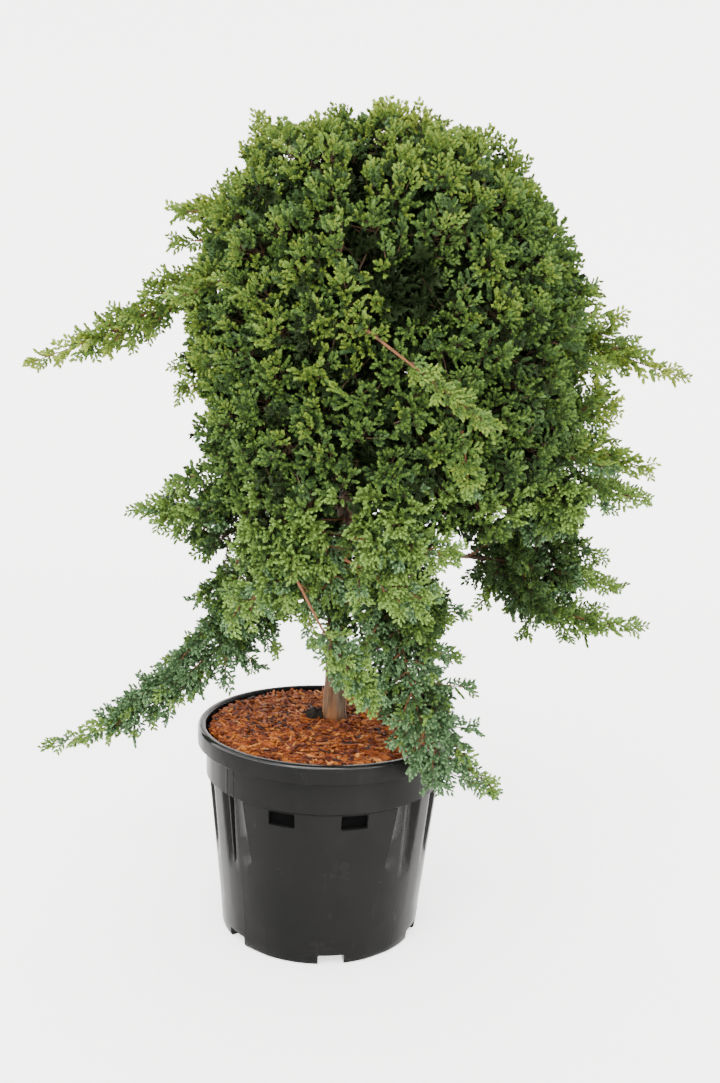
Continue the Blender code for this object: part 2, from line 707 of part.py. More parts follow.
def dress_arm(mass, arm, sprays, rule, collection):
    """Sprays on alternate sides of an arm, and one at its tip."""
    for i, (place, half_width) in enumerate(arm[:-1]):
        along = (arm[i + 1][0] - place).normalized()
        across = along.cross(Vector((0, 0, 1))).normalized()
        for side in (-1, 1):
            out = across.copy()
            out.rotate(Matrix.Rotation(side * math.pi / 2 + rule.uniform(-0.8, 0.8), 3, along))
            root = place + along * ARM_STEP * rule.uniform(-0.3, 0.5)
            lean = (along * 0.8 + out).normalized()
            tip = root + lean * half_width * 1.3
            turn = rule.uniform(0, math.pi)
            sprays.place(sprays.plain, mass, root, tip, turn, half_width * 0.5, collection)
    end, half_width = arm[-1]
    along = (end - arm[-2][0]).normalized()
    root, tip = end - along * LEAST_SPRAY, end + along * ARM_STEM_RADIUS
    turn = rule.uniform(0, math.pi)
    sprays.place(sprays.toothed, mass, root, tip, turn, half_width * 0.7, collection)


def make_stem_into(mass, collection):
    """The mass's own stem, from its foot to its seed."""
    clear = 0 if mass["leave"] is None and mass["name"] != "top" else CLEARANCE
    start = mass["foot"] + mass["along"] * clear
    end = mass["seed"]
    first = start + mass["along"] * 0.006
    path = [(start, TWIG_RADIUS), (first, TWIG_RADIUS), (end, TWIG_RADIUS * 0.7)]
    return limb("own_stem", path, 4, collection, None)


def largest_body(mesh):
    """Drops every loose scrap and every shut hollow of a joined mass."""
    bm = bmesh.new()
    bm.from_mesh(mesh)
    bmesh.ops.triangulate(bm, faces=bm.faces)
    left = set(bm.verts)
    bodies = []
    while left:
        todo = [left.pop()]
        body = set(todo)
        while todo:
            for edge in todo.pop().link_edges:
                for vertex in edge.verts:
                    if vertex in left:
                        left.remove(vertex)
                        body.add(vertex)
                        todo.append(vertex)
        bodies.append(body)
    biggest = max(bodies, key=lambda body: box_size(body))
    scraps = [v for body in bodies if body is not biggest for v in body]
    bmesh.ops.delete(bm, geom=scraps, context="VERTS")
    bm.to_mesh(mesh)
    bm.free()


def box_size(body):
    sides = [max(v.co[i] for v in body) - min(v.co[i] for v in body) for i in range(3)]
    return sides[0] * sides[1] * sides[2]


def fuse(name, pieces, collection, surface):
    """One solid of the first piece and all the others."""
    base = pieces.objects[0]
    pieces.objects.unlink(base)
    collection.objects.link(base)
    union = base.modifiers.new("Join", "BOOLEAN")
    union.operation = "UNION"
    union.operand_type = "COLLECTION"
    union.collection = pieces
    union.solver = "MANIFOLD"
    made = evaluated_copy(base, name, collection, surface)
    discard(base, *list(pieces.objects))
    bpy.data.collections.remove(pieces)
    largest_body(made.data)
    made.data.materials.clear()
    made.data.materials.append(surface)
    return made


def limb_guard(path, collection):
    """A limb's tree, a little thicker than the limb, to keep foliage off it."""
    thicker = [(place, radius + GUARD_GAP) for place, radius in path]
    made = limb("guard", thicker, BOUGH_SIDES, collection, None)
    tree = mesh_tree(made.data)
    discard(made)
    return tree


def make_masses(masses, space, guards, collection, surface):
    sprays = Sprays(space, guards)
    pieces = {}
    for name, mass in masses.items():
        rule = random.Random(f"{SEED} core {name}")
        pieces[name] = bpy.data.collections.new(name + "_pieces")
        bpy.context.scene.collection.children.link(pieces[name])
        core = make_core(mass, space, guards, rule, pieces[name])
        sprays.add_body(name, core.data)
        for arm in mass["arms"]:
            plume = limb("plume", arm_plume(mass, arm, space), ARM_SIDES, pieces[name], None)
            sprays.add_body(name, plume.data)
        sprays.add_body(name, make_stem_into(mass, pieces[name]).data)
    for name, mass in masses.items():
        rule = random.Random(f"{SEED} sprays {name}")
        for arm in mass["arms"]:
            dress_arm(mass, arm, sprays, rule, pieces[name])
        dress_lump(mass, sprays, rule, pieces[name])
    for name in masses:
        fuse(name, pieces[name], collection, surface)


def main():
    for old in list(bpy.data.objects):
        bpy.data.objects.remove(old)
    parts = bpy.data.collections.new("potted_standard_juniper")
    cutters = bpy.data.collections.new("cutters")
    for made in (parts, cutters):
        bpy.context.scene.collection.children.link(made)

    plastic = material("pot_plastic", (0.012, 0.012, 0.013), 0.32)
    bark_chips = material("bark_chips", (0.30, 0.085, 0.025), 0.9)
    bark = material("bark", (0.20, 0.13, 0.085), 0.85)
    needles = material("needles", (0.085, 0.17, 0.035), 0.6)

    make_pot(parts, cutters, plastic)
    make_mulch(parts, bark_chips)

    stem_path = [(Vector(row[:3]), row[3]) for row in STEM]
    limb_objects = [limb("stem", stem_path, STEM_SIDES, parts, bark)]
    masses = plan_masses()
    space = Space(masses)
    paths = [stem_path]
    for name, mass in masses.items():
        set_foot(mass, space)
        if mass["leave"] is not None:
            path = bough_path(mass["leave"], mass)
            paths.append(path)
            limb_objects.append(limb(f"bough_{name}", path, BOUGH_SIDES, parts, bark))
    for made in limb_objects:
        smooth(made)
    space.take_limbs(paths)
    guards = [limb_guard(path, parts) for path in paths]
    make_masses(masses, space, guards, parts, needles)


main()
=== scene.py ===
import math
import random

import bmesh
import bpy
import numpy as np
from mathutils import Matrix, Vector, noise
from mathutils.kdtree import KDTree


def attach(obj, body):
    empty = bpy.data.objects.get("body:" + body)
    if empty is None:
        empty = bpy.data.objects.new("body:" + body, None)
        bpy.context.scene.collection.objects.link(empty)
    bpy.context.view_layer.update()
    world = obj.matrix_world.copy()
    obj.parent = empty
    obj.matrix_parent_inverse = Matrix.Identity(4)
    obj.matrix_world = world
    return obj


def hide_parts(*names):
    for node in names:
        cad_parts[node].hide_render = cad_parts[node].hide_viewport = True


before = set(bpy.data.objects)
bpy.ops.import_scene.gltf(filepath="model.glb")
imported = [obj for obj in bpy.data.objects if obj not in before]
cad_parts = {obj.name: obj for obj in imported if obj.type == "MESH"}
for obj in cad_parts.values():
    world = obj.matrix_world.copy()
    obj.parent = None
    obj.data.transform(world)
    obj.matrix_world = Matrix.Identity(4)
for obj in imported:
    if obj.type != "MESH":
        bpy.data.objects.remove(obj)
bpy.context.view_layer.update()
seed = 11
noise.seed_set(seed)
print("frame loaded:", len(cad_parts), "nodes")


# Shared helpers

softAngle = 60


def addObject(name, data):
    made = bpy.data.objects.new(name, data)
    bpy.context.scene.collection.objects.link(made)
    return made


def linkPiece(name, mesh, surface, slotName, *replaced):
    piece = addObject(name, mesh)
    mesh.materials.clear()
    mesh.materials.append(surface)
    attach(piece, "root")
    if replaced:
        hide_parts(*replaced)
    return piece


def meshFrom(bm, name, smoothAngle=None):
    mesh = bpy.data.meshes.new(name)
    bm.to_mesh(mesh)
    bm.free()
    if smoothAngle:
        mesh.shade_smooth()
        mesh.set_sharp_from_angle(angle=math.radians(smoothAngle))
    return mesh


def unit(rows):
    return rows / np.maximum(np.linalg.norm(rows, axis=-1, keepdims=True), 1e-9)


def smoothStep(low, high, value):
    t = min(1.0, max(0.0, (value - low) / (high - low)))
    return t * t * (3 - 2 * t)


def treeOf(places):
    tree = KDTree(len(places))
    for i, place in enumerate(places):
        tree.insert(place, i)
    tree.balance()
    return tree


def pathLength(places):
    return sum((second - first).length for first, second in zip(places, places[1:]))


def spunSolid(profile, steps):
    # profile of (radius, height) that starts and ends on the axis
    bm = bmesh.new()
    corners = [bm.verts.new((radius, 0, height)) for radius, height in profile]
    for first, second in zip(corners, corners[1:]):
        bm.edges.new((first, second))
    bmesh.ops.spin(bm, geom=bm.verts[:] + bm.edges[:], cent=(0, 0, 0), axis=(0, 0, 1),
                   angle=math.tau, steps=steps, use_merge=True)
    bmesh.ops.remove_doubles(bm, verts=bm.verts, dist=0.000005)
    bmesh.ops.recalc_face_normals(bm, faces=bm.faces)
    return bm


def arcPoints(middle, radius, first, last, count):
    turns = [math.radians(first + (last - first) * i / (count - 1)) for i in range(count)]
    return [(middle[0] + radius * math.cos(t), middle[1] + radius * math.sin(t)) for t in turns]


class Shader:
    # short ways to add nodes in front of one Principled shader
    def __init__(self, name, roughness, specular):
        self.made = bpy.data.materials.new(name)
        self.made.use_nodes = True
        self.nodes = self.made.node_tree.nodes
        self.links = self.made.node_tree.links
        self.surface = self.nodes["Principled BSDF"]
        self.surface.inputs["Roughness"].default_value = roughness
        self.surface.inputs["Specular IOR Level"].default_value = specular

    def join(self, source, target):
        self.links.new(source, target)

    def fill(self, source, target):
        # a socket takes a plain colour or what another node gives
        if isinstance(source, tuple):
            target.default_value = (*source, 1.0)
        else:
            self.join(source, target)

    def paint(self, source):
        self.fill(source, self.surface.inputs["Base Color"])

    def place(self, scale):
        coordinates = self.nodes.new("ShaderNodeTexCoord")
        mapping = self.nodes.new("ShaderNodeMapping")
        mapping.inputs["Scale"].default_value = scale
        self.join(coordinates.outputs["Object"], mapping.inputs["Vector"])
        return mapping.outputs["Vector"]

    def noise(self, scale, detail=4, stretch=(1, 1, 1), distortion=0.0):
        made = self.nodes.new("ShaderNodeTexNoise")
        made.inputs["Scale"].default_value = scale
        made.inputs["Detail"].default_value = detail
        made.inputs["Distortion"].default_value = distortion
        self.join(self.place(stretch), made.inputs["Vector"])
        return made.outputs["Fac"]

    def ramp(self, factor, stops):
        made = self.nodes.new("ShaderNodeValToRGB")
        while len(made.color_ramp.elements) < len(stops):
            made.color_ramp.elements.new(1.0)
        for element, (position, colour) in zip(made.color_ramp.elements, stops):
            element.position = position
            element.color = (*colour, 1.0)
        self.join(factor, made.inputs["Fac"])
        return made.outputs["Color"]

    def blend(self, factor, first, second):
        made = self.nodes.new("ShaderNodeMix")
        made.data_type = "RGBA"
        self.join(factor, made.inputs[0])
        self.fill(first, made.inputs[6])
        self.fill(second, made.inputs[7])
        return made.outputs[2]

    def cover(self, colour, spread, fade, tint):
        # a tint over a colour, as far as a noise fades in
        low, high, most = fade
        share = self.ramp(self.noise(*spread), ((low, (0, 0, 0)), (high, (most, most, most))))
        return self.blend(share, colour, tint)

    def roughen(self, factor, low, high):
        made = self.nodes.new("ShaderNodeMapRange")
        made.inputs["To Min"].default_value = low
        made.inputs["To Max"].default_value = high
        self.join(factor, made.inputs["Value"])
        self.join(made.outputs["Result"], self.surface.inputs["Roughness"])

    def bump(self, height, strength, distance):
        made = self.nodes.new("ShaderNodeBump")
        made.inputs["Strength"].default_value = strength
        made.inputs["Distance"].default_value = distance
        self.join(height, made.inputs["Height"])
        self.join(made.outputs["Normal"], self.surface.inputs["Normal"])


def grainMaterial(name, look):
    # colours spread by one noise, over a relief from another
    made = Shader(name, look["roughness"], look["specular"])
    made.paint(made.ramp(made.noise(*look["grain"]), look["stops"]))
    made.bump(made.noise(*look["relief"]), *look["bump"])
    return made.made


# Camera and studio

cameraView = {"place": (0.0332, -1.2403, 0.6655), "lens": 35.16, "down": 8.83, "roll": 2.20}
studio = {
    "wallRadius": 3.6, "cove": 1.2, "coveSteps": 16, "wallHeight": 2.6, "steps": 96, "floorDrop": 0.0002,
    "paper": (0.86, 0.85, 0.84), "paperRoughness": 0.9, "paperSpecular": 0.2, "paperGlow": 1.6,
    "skyStrength": 3.0, "sunEnergy": 2.0, "sunSpread": 50, "sunTurn": (38, 6, -24),
    "areas": (
        ("strip_light", 42.0, (1.9, 0.16), (-0.30, -1.75, 2.05), (0.0, 0.0, 0.45)),
        ("front_fill", 40.0, (2.6, 1.4), (-1.3, -2.5, 0.95), (0.0, 0.0, 0.50)),
    ),
}


def makeCamera():
    data = bpy.data.cameras.new("camera")
    data.lens = cameraView["lens"]
    made = addObject("camera", data)
    tilt = Matrix.Rotation(math.radians(90 - cameraView["down"]), 4, "X")
    roll = Matrix.Rotation(math.radians(cameraView["roll"]), 4, "Z")
    made.matrix_world = Matrix.Translation(cameraView["place"]) @ tilt @ roll
    bpy.context.scene.camera = made


def makeStudio():
    # one sheet of paper: a floor that curves up into a wall all round, open above
    reach, cove = studio["wallRadius"], studio["cove"]
    bend = arcPoints((reach - cove, cove), cove, -90, 0, studio["coveSteps"])
    bm = spunSolid([(0.0, 0.0)] + bend + [(reach, studio["wallHeight"])], studio["steps"])
    bmesh.ops.translate(bm, vec=(0, 0, -studio["floorDrop"]), verts=bm.verts)
    mesh = meshFrom(bm, "studio_floor", softAngle)
    paper = Shader("studio_paper", studio["paperRoughness"], studio["paperSpecular"])
    paper.paint(studio["paper"])
    paper.fill(studio["paper"], paper.surface.inputs["Emission Color"])
    paper.surface.inputs["Emission Strength"].default_value = studio["paperGlow"]
    mesh.materials.append(paper.made)
    floor = addObject("studio_floor", mesh)

    world = bpy.data.worlds.new("soft sky")
    world.use_nodes = True
    sky = world.node_tree.nodes["Background"]
    sky.inputs["Color"].default_value = (1.0, 1.0, 1.0, 1.0)
    sky.inputs["Strength"].default_value = studio["skyStrength"]
    bpy.context.scene.world = world

    data = bpy.data.lights.new("soft_sun", "SUN")
    data.energy = studio["sunEnergy"]
    data.angle = math.radians(studio["sunSpread"])
    sun = addObject("soft_sun", data)
    sun.rotation_euler = [math.radians(turn) for turn in studio["sunTurn"]]

    for name, power, size, place, aim in studio["areas"]:
        data = bpy.data.lights.new(name, "AREA")
        data.shape = "RECTANGLE"
        data.size, data.size_y = size
        data.energy = power
        light = addObject(name, data)
        light.location = place
        light.rotation_euler = (Vector(aim) - light.location).to_track_quat("-Z", "Y").to_euler()


makeCamera()
makeStudio()
print("camera and studio made")


# Pot: black plastic, with the same outline as its CAD node and finer rounds

pot = {
    "height": 0.250, "rim": 0.1545, "lipHeight": 0.022, "lipWidth": 0.010, "lipRound": 0.0040, "lipSteps": 7,
    "band": 0.1435, "bandBottom": 0.190, "bandRound": 0.0016, "bodyTop": 0.1400, "bodyLow": 0.1232,
    "low": 0.034, "bodyRows": 14, "foot": 0.1180, "floor": 0.016, "floorRound": 0.012,
    "wall": 0.0028, "bodyWall": 0.0092, "lowWall": 0.0060, "wallTop": 0.003, "wallFoot": 0.002,
    "slack": 0.001, "edge": 0.0001, "sharpAngle": 32,
    "fluteCount": 5, "flutePitch": 20.25, "fluteShares": (-1, -0.85, -0.62, -0.42, 0, 0.42, 0.62, 0.85, 1),
    "fluteDepth": 0.0065, "fluteFade": 0.040, "fluteHalf": 5.0, "fluteLowWidth": 0.45, "fluteFlat": 0.42,
    "besideFlute": 6.6,
    "panels": (-90, 90), "panelHalf": 38.5, "panelLowHalf": 28.0, "panelLow": 0.050, "panelRise": 0.0010,
    "panelCurve": 0.6, "panelFade": 5, "panelSteps": 20, "beadHalf": 0.75, "beadRise": 0.0012,
    "mouldLines": (-138.6, -133.7), "mouldWidth": 0.22, "mouldRise": 0.00035,
    "notchCount": 6, "notchFirst": -141.3, "notchSize": (0.095, 0.030, 0.024), "notchMiddle": 0.1025,
    "pockets": (-17.5, 16.5), "pocketSize": (0.0165, 0.031, 0.017), "pocketTop": 0.1878, "recess": 0.0060,
    "cutRound": 0.0012, "recessSlack": 0.0003, "recessFrom": 0.1, "lipFacing": (0.15, 0.93),
}
lipBottom = pot["height"] - pot["lipHeight"]
bodyIn = pot["bodyTop"] - pot["bodyWall"]
lowIn = pot["bodyLow"] - pot["lowWall"]
# corners of the outside: ring and how far past it, level and how far above it
footCorners = (
    ("foot", 0, 0, 0), ("foot", 0.0018, 0, 0.0011), ("foot", 0.0028, 0, 0.0035),
    ("bodyLow", -0.0018, 0, 0.0110), ("bodyLow", -0.0009, 0, 0.0190),
)
bandCorners = (
    ("bodyTop", 0.0006, pot["bandBottom"], -0.0009), ("band", -0.0009, pot["bandBottom"], -0.0001),
    ("band", 0, pot["bandBottom"], 0.0010), ("band", 0.0006, lipBottom, -0.0016),
    ("band", 0.0016, lipBottom, -0.0006), ("rim", -0.0016, lipBottom, 0.0001),
    ("rim", -0.0003, lipBottom, 0.0012), ("rim", 0, lipBottom, 0.006),
)
potLook = {
    "roughness": 0.34, "specular": 0.045, "dust": (9, 6, (1, 1, 0.5)),
    "stops": ((0.35, (0.0040, 0.0040, 0.0039)), (0.62, (0.0060, 0.0059, 0.0057)),
              (0.8, (0.010, 0.0097, 0.0090))),
    "marks": (160, 3, (1, 1, 0.12)), "markFade": (0.66, 0.78, 0.5), "markTint": (0.014, 0.0137, 0.0133),
    "sheen": (26, 5), "sheenRange": (0.15, 0.34), "relief": (420, 2), "bump": (0.08, 0.0002),
    # the pocket grey, its last figure, is near black: painted shade at the back of the pockets
    "pocket": (0.8, 0.02, 0.0012), "lip": (0.10, 0.30, 0.0045),
}


def fluteMiddles():
    middle = (pot["fluteCount"] - 1) / 2
    return [side + (i - middle) * pot["flutePitch"] for side in (0, 180) for i in range(pot["fluteCount"])]


def potMeridians():
    # each meridian: azimuth, kind, middle of its flute or panel, place in it, rise above the wall
    rows = []
    for middle in fluteMiddles():
        for share in pot["fluteShares"]:
            rows.append((middle + share * pot["fluteHalf"], "flute", middle, share, 0.0))
        rows += [(middle + side * pot["besideFlute"], "plain", None, 0, 0.0) for side in (-1, 1)]
    for panel in pot["panels"]:
        half, bead, steps = pot["panelHalf"], pot["beadHalf"], pot["panelSteps"]
        places = [((2 * i / steps - 1) * (half - bead), pot["panelRise"]) for i in range(steps + 1)]
        places += [(side * half, pot["beadRise"]) for side in (-1, 1)]
        places += [(side * (half + bead), 0.0) for side in (-1, 1)]
        rows += [(panel + offset, "panel", panel, offset, rise) for offset, rise in places]
    width = pot["mouldWidth"]
    for line in pot["mouldLines"]:
        rows = [row for row in rows if abs((row[0] - line + 180) % 360 - 180) > 3 * width]
        for side, rise in ((-2, 0.0), (-1, pot["mouldRise"]), (1, pot["mouldRise"]), (2, 0.0)):
            rows.append((line + side * width, "mould", None, 0, rise))
    rows = [(math.radians(angle) % math.tau, *rest) for angle, *rest in rows]
    return sorted(rows, key=lambda row: row[0])


def fluteStrength(height):
    if height > pot["bandBottom"] - pot["edge"]:
        return 0.0
    return max(0.0, min(1.0, (height - pot["fluteFade"]) / (pot["bandBottom"] - pot["fluteFade"])))


def potProfile():
    corner, lipIn = pot["lipRound"], pot["rim"] - pot["lipWidth"]
    rows = [(0, 0), (pot["notchMiddle"] / 2, 0)]
    rows += [(pot[ring] + past, level + above) for ring, past, level, above in footCorners]
    for i in range(pot["bodyRows"]):
        t = i / (pot["bodyRows"] - 1)
        height = pot["low"] + (pot["bandBottom"] - pot["bandRound"] - pot["low"]) * t
        rows.append((pot["bodyLow"] + (pot["bodyTop"] - pot["bodyLow"]) * t, height))
    rows += [(pot[ring] + past, level + above) for ring, past, level, above in bandCorners]
    for middle, first in ((pot["rim"] - corner, 0), (lipIn + corner, 90)):
        rows += arcPoints((middle, pot["height"] - corner), corner, first, first + 90, pot["lipSteps"])
    rows.append((pot["band"] - pot["wall"], lipBottom + pot["wallTop"]))
    rows += [(bodyIn, pot["bandBottom"] - pot["wallFoot"]), (lowIn, pot["low"])]
    return rows + [(lowIn - pot["floorRound"], pot["floor"]), (0, pot["floor"])]


def shapePotWall(bm, meridians):
    step = math.tau / len(meridians)
    slack = pot["slack"]
    for vertex in bm.verts:
        x, y, z = vertex.co
        radius = math.hypot(x, y)
        if radius < slack:
            continue
        number = round(math.atan2(y, x) % math.tau / step) % len(meridians)
        angle, kind, middle, place, rise = meridians[number]
        outside = radius > bodyIn + slack or z < pot["low"] + slack and radius > lowIn + slack
        low = min(z, pot["bandBottom"] - pot["bandRound"])
        if kind == "flute" and outside:
            narrow = pot["fluteLowWidth"] + (1 - pot["fluteLowWidth"]) * fluteStrength(low)
            angle = math.radians(middle + place * pot["fluteHalf"] * narrow)
            side = smoothStep(pot["fluteFlat"], 1.0, abs(place))
            radius -= pot["fluteDepth"] * fluteStrength(z) * (1 - side)
        elif kind == "panel" and outside:
            share = max(0.0, (low - pot["panelLow"]) / (pot["bandBottom"] - pot["panelLow"]))
            half = (pot["panelHalf"] - pot["panelLowHalf"]) * share ** pot["panelCurve"]
            angle = math.radians(middle + place * (pot["panelLowHalf"] + half) / pot["panelHalf"])
            radius += rise * min(1.0, share * pot["panelFade"]) * (z < pot["bandBottom"] - slack)
        elif kind == "mould" and pot["bandBottom"] < z < lipBottom and radius > pot["band"] - slack / 2:
            radius += rise
        vertex.co = (radius * math.cos(angle), radius * math.sin(angle), z)


def cutter(name, size, place, turn):
    bm = bmesh.new()
    bmesh.ops.create_cube(bm, size=1)
    bmesh.ops.scale(bm, vec=size, verts=bm.verts)
    bmesh.ops.bevel(bm, geom=bm.edges[:], offset=pot["cutRound"], affect="EDGES", segments=2, profile=0.5,
                    material=-1)
    bmesh.ops.translate(bm, vec=place, verts=bm.verts)
    bmesh.ops.rotate(bm, matrix=Matrix.Rotation(math.radians(turn), 3, "Z"), verts=bm.verts)
    return bpy.data.objects.new(name, meshFrom(bm, name))


def cutAway(mesh, cutters):
    # applies one Boolean and leaves only its result
    holder = bpy.data.collections.new("pot_cutters")
    bpy.context.scene.collection.children.link(holder)
    for tool in cutters:
        holder.objects.link(tool)
    whole = addObject("pot_whole", mesh)
    cut = whole.modifiers.new("Cut", "BOOLEAN")
    cut.operation = "DIFFERENCE"
    cut.operand_type = "COLLECTION"
    cut.collection = holder
    bpy.context.view_layer.update()
    result = bpy.data.meshes.new_from_object(whole.evaluated_get(bpy.context.evaluated_depsgraph_get()))
    for used in [whole, *cutters]:
        bpy.data.objects.remove(used)
    bpy.data.collections.remove(holder)
    return result


def potMaterial():
    plastic = Shader("pot_plastic", potLook["roughness"], potLook["specular"])
    dusty = plastic.ramp(plastic.noise(*potLook["dust"]), potLook["stops"])
    plastic.paint(plastic.cover(dusty, potLook["marks"], potLook["markFade"], potLook["markTint"]))
    plastic.roughen(plastic.noise(*potLook["sheen"]), *potLook["sheenRange"])
    plastic.bump(plastic.noise(*potLook["relief"]), *potLook["bump"])
    return plastic.made


def plainMaterial(name, roughness, specular, grey):
    made = Shader(name, roughness, specular)
    made.paint((grey, grey, grey))
    return made.made


def potCutters():
    cutters = []
    for i in range(pot["notchCount"]):
        turn = pot["notchFirst"] + i * 360 / pot["notchCount"]
        cutters.append(cutter(f"notch_{i + 1}", pot["notchSize"], (pot["notchMiddle"], 0, 0), turn))
    for panel in pot["panels"]:
        for i, offset in enumerate(pot["pockets"]):
            place = (pot["bodyTop"], 0, pot["pocketTop"] - pot["pocketSize"][2] / 2)
            cutters.append(cutter(f"pocket_{panel}_{i + 1}", pot["pocketSize"], place, panel + offset))
    return cutters


def makePot():
    meridians = potMeridians()
    bm = spunSolid(potProfile(), len(meridians))
    shapePotWall(bm, meridians)
    bmesh.ops.recalc_face_normals(bm, faces=bm.faces)
    mesh = cutAway(meshFrom(bm, "pot_body"), potCutters())
    mesh.shade_smooth()
    mesh.set_sharp_from_angle(angle=math.radians(pot["sharpAngle"]))
    linkPiece("pot_body", mesh, potMaterial(), "pot_plastic", "pot")
    mesh.materials.append(plainMaterial("pot_recess_painted_shade", *potLook["pocket"]))
    mesh.materials.append(plainMaterial("pot_lip", *potLook["lip"]))
    facing, limit = pot["lipFacing"], pot["pocketTop"] + pot["slack"] / 2
    for face in mesh.polygons:
        x, y, z = face.center
        radius = face.center.xy.length
        # faces at the back of each pocket get the near-black recess material: painted shade in the recess
        inPocket = pot["pocketTop"] - pot["pocketSize"][2] < z < limit and abs(y) > pot["recessFrom"]
        if inPocket and bodyIn + pot["recessSlack"] < radius < pot["bodyTop"] - pot["recess"]:
            face.material_index = 1
        onLip = z > pot["height"] - pot["lipRound"] and radius > pot["rim"] - pot["lipWidth"] / 2
        if onLip and facing[0] < face.normal.z < facing[1]:
            face.material_index = 2


makePot()
print("pot made")


# Mulch: a mound with loose chips and shreds of bark on it, and a dark clod beside the stem's foot

mulch = {
    "top": 0.2512, "shoulder": 0.2468, "edge": 0.2400, "radius": 0.1408, "bottom": 0.225, "bottomIn": 0.002,
    "flatRadius": 0.03, "shoulderRadius": 0.09, "topFrom": 0.23, "rings": 30, "steps": 72,
    "roughness": 0.0016, "roughScale": 90, "sink": 0.8,
    "look": {"roughness": 0.95, "specular": 0.2, "grain": (130, 5), "relief": (220, 4), "bump": (0.8, 0.001),
             "stops": ((0.35, (0.016, 0.006, 0.003)), (0.65, (0.060, 0.016, 0.005)))},
}
chip = {
    # how many, how many forms, and the ranges of length, width and thickness
    "kinds": (
        (3400, 8, (0.007, 0.016), (0.0030, 0.0062), (0.0010, 0.0020)),
        (2300, 8, (0.014, 0.030), (0.0012, 0.0026), (0.0008, 0.0014)),
        (1300, 4, (0.003, 0.006), (0.0018, 0.0034), (0.0010, 0.0022)),
    ),
    "endShare": (0.86, 1.0), "narrow": 0.55, "ragged": 0.16, "warp": 0.25, "bend": 0.25,
    "reach": 0.1405, "slack": 0.001, "stemFoot": (0.0095, 0.0), "stemClear": 0.0185,
    "lift": (0.0000, 0.0058), "pitch": 0.20, "roll": 0.35, "size": (0.8, 1.2),
    "roughness": 0.82, "specular": 0.25, "streak": (240, 5, (1, 1, 1), 1.5), "stops": (0.32, 0.52, 0.72),
    "dark": 0.55, "light": 1.35, "bump": (0.5, 0.0006),
}
# colour of each bark, and its share of the chips
chipTints = {
    "orange": ((0.145, 0.030, 0.0030), 0.32),
    "amber": ((0.23, 0.062, 0.0060), 0.24),
    "russet": ((0.070, 0.012, 0.002), 0.25),
    "pale": ((0.33, 0.125, 0.026), 0.07),
    "dark": ((0.018, 0.005, 0.002), 0.12),
}
clod = {
    # place and size of the clod and of the strip in front of it
    "lumps": (((-0.0125, 0.0000, 0.2530), (0.0160, 0.0130, 0.0130)),
              ((0.0060, -0.0185, 0.2505), (0.0120, 0.0055, 0.0040))),
    "splits": 4, "relief": 0.35, "reliefScale": 170,
    "look": {"roughness": 0.95, "specular": 0.15, "grain": (300, 4), "relief": (500, 4),
             "bump": (0.8, 0.0008),
             "stops": ((0.4, (0.006, 0.005, 0.004)), (0.75, (0.020, 0.014, 0.010)))},
}
trianglesPerPiece = 190000


def moundHeight(radius):
    rows = ((0.0, mulch["top"]), (mulch["flatRadius"], mulch["top"]),
            (mulch["shoulderRadius"], mulch["shoulder"]), (mulch["radius"], mulch["edge"]))
    for (nearR, nearZ), (farR, farZ) in zip(rows, rows[1:]):
        if radius <= farR:
            return nearZ + (farZ - nearZ) * (radius - nearR) / (farR - nearR)
    return mulch["edge"]


def makeMound():
    radii = [mulch["radius"] * i / mulch["rings"] for i in range(mulch["rings"] + 1)]
    profile = [(radius, moundHeight(radius)) for radius in radii]
    profile += [(mulch["radius"] - mulch["bottomIn"], mulch["bottom"]), (0, mulch["bottom"])]
    bm = spunSolid(profile, mulch["steps"])
    for vertex in bm.verts:
        if vertex.co.z > mulch["topFrom"]:
            lump = noise.noise(vertex.co * mulch["roughScale"]) - mulch["sink"]
            vertex.co.z += mulch["roughness"] * lump
    soil = grainMaterial("mulch_bed", mulch["look"])
    linkPiece("mulch_bed", meshFrom(bm, "mulch_bed", softAngle), soil, "bark_chips", "mulch")


def chipTemplate(rule, length, width, thickness, bend):
    # a splintered flat chip: a box cut in three along its length, with its corners pushed about
    bm = bmesh.new()
    bmesh.ops.create_cube(bm, size=1)
    bmesh.ops.scale(bm, vec=(length, width, thickness), verts=bm.verts)
    along = [e for e in bm.edges if abs((e.verts[0].co - e.verts[1].co).x) > length * 0.9]
    bmesh.ops.subdivide_edges(bm, edges=along, cuts=2)
    ragged, warp = chip["ragged"], chip["warp"]
    for vertex in bm.verts:
        x, y, z = vertex.co
        end = abs(x) / (length / 2)
        narrow = 1 - chip["narrow"] * end ** 3 * rule.random()
        z += bend * length * (x / length) ** 2 + rule.uniform(-warp, warp) * thickness
        x *= rule.uniform(*chip["endShare"])
        vertex.co = (x, y * narrow + rule.uniform(-ragged, ragged) * width, z)
    bmesh.ops.triangulate(bm, faces=bm.faces)
    bmesh.ops.recalc_face_normals(bm, faces=bm.faces)
    return templateArrays(bm)


def templateArrays(bm):
    bm.verts.index_update()
    points = np.array([v.co for v in bm.verts])
    faces = np.array([[v.index for v in f.verts] for f in bm.faces])
    bm.free()
    return points, faces


def shareBlocks(groups):
    # groups of (points, triangles, moves), cut into blocks of copies under the limit of a piece
    blocks, room = [[]], trianglesPerPiece
    for points, faces, moves in groups:
        while len(moves):
            fit = max(1, room // len(faces))
            blocks[-1].append((points, faces, moves[:fit]))
            room -= len(faces) * len(moves[:fit])
            moves = moves[fit:]
            if len(moves):
                blocks.append([])
                room = trianglesPerPiece
    return blocks


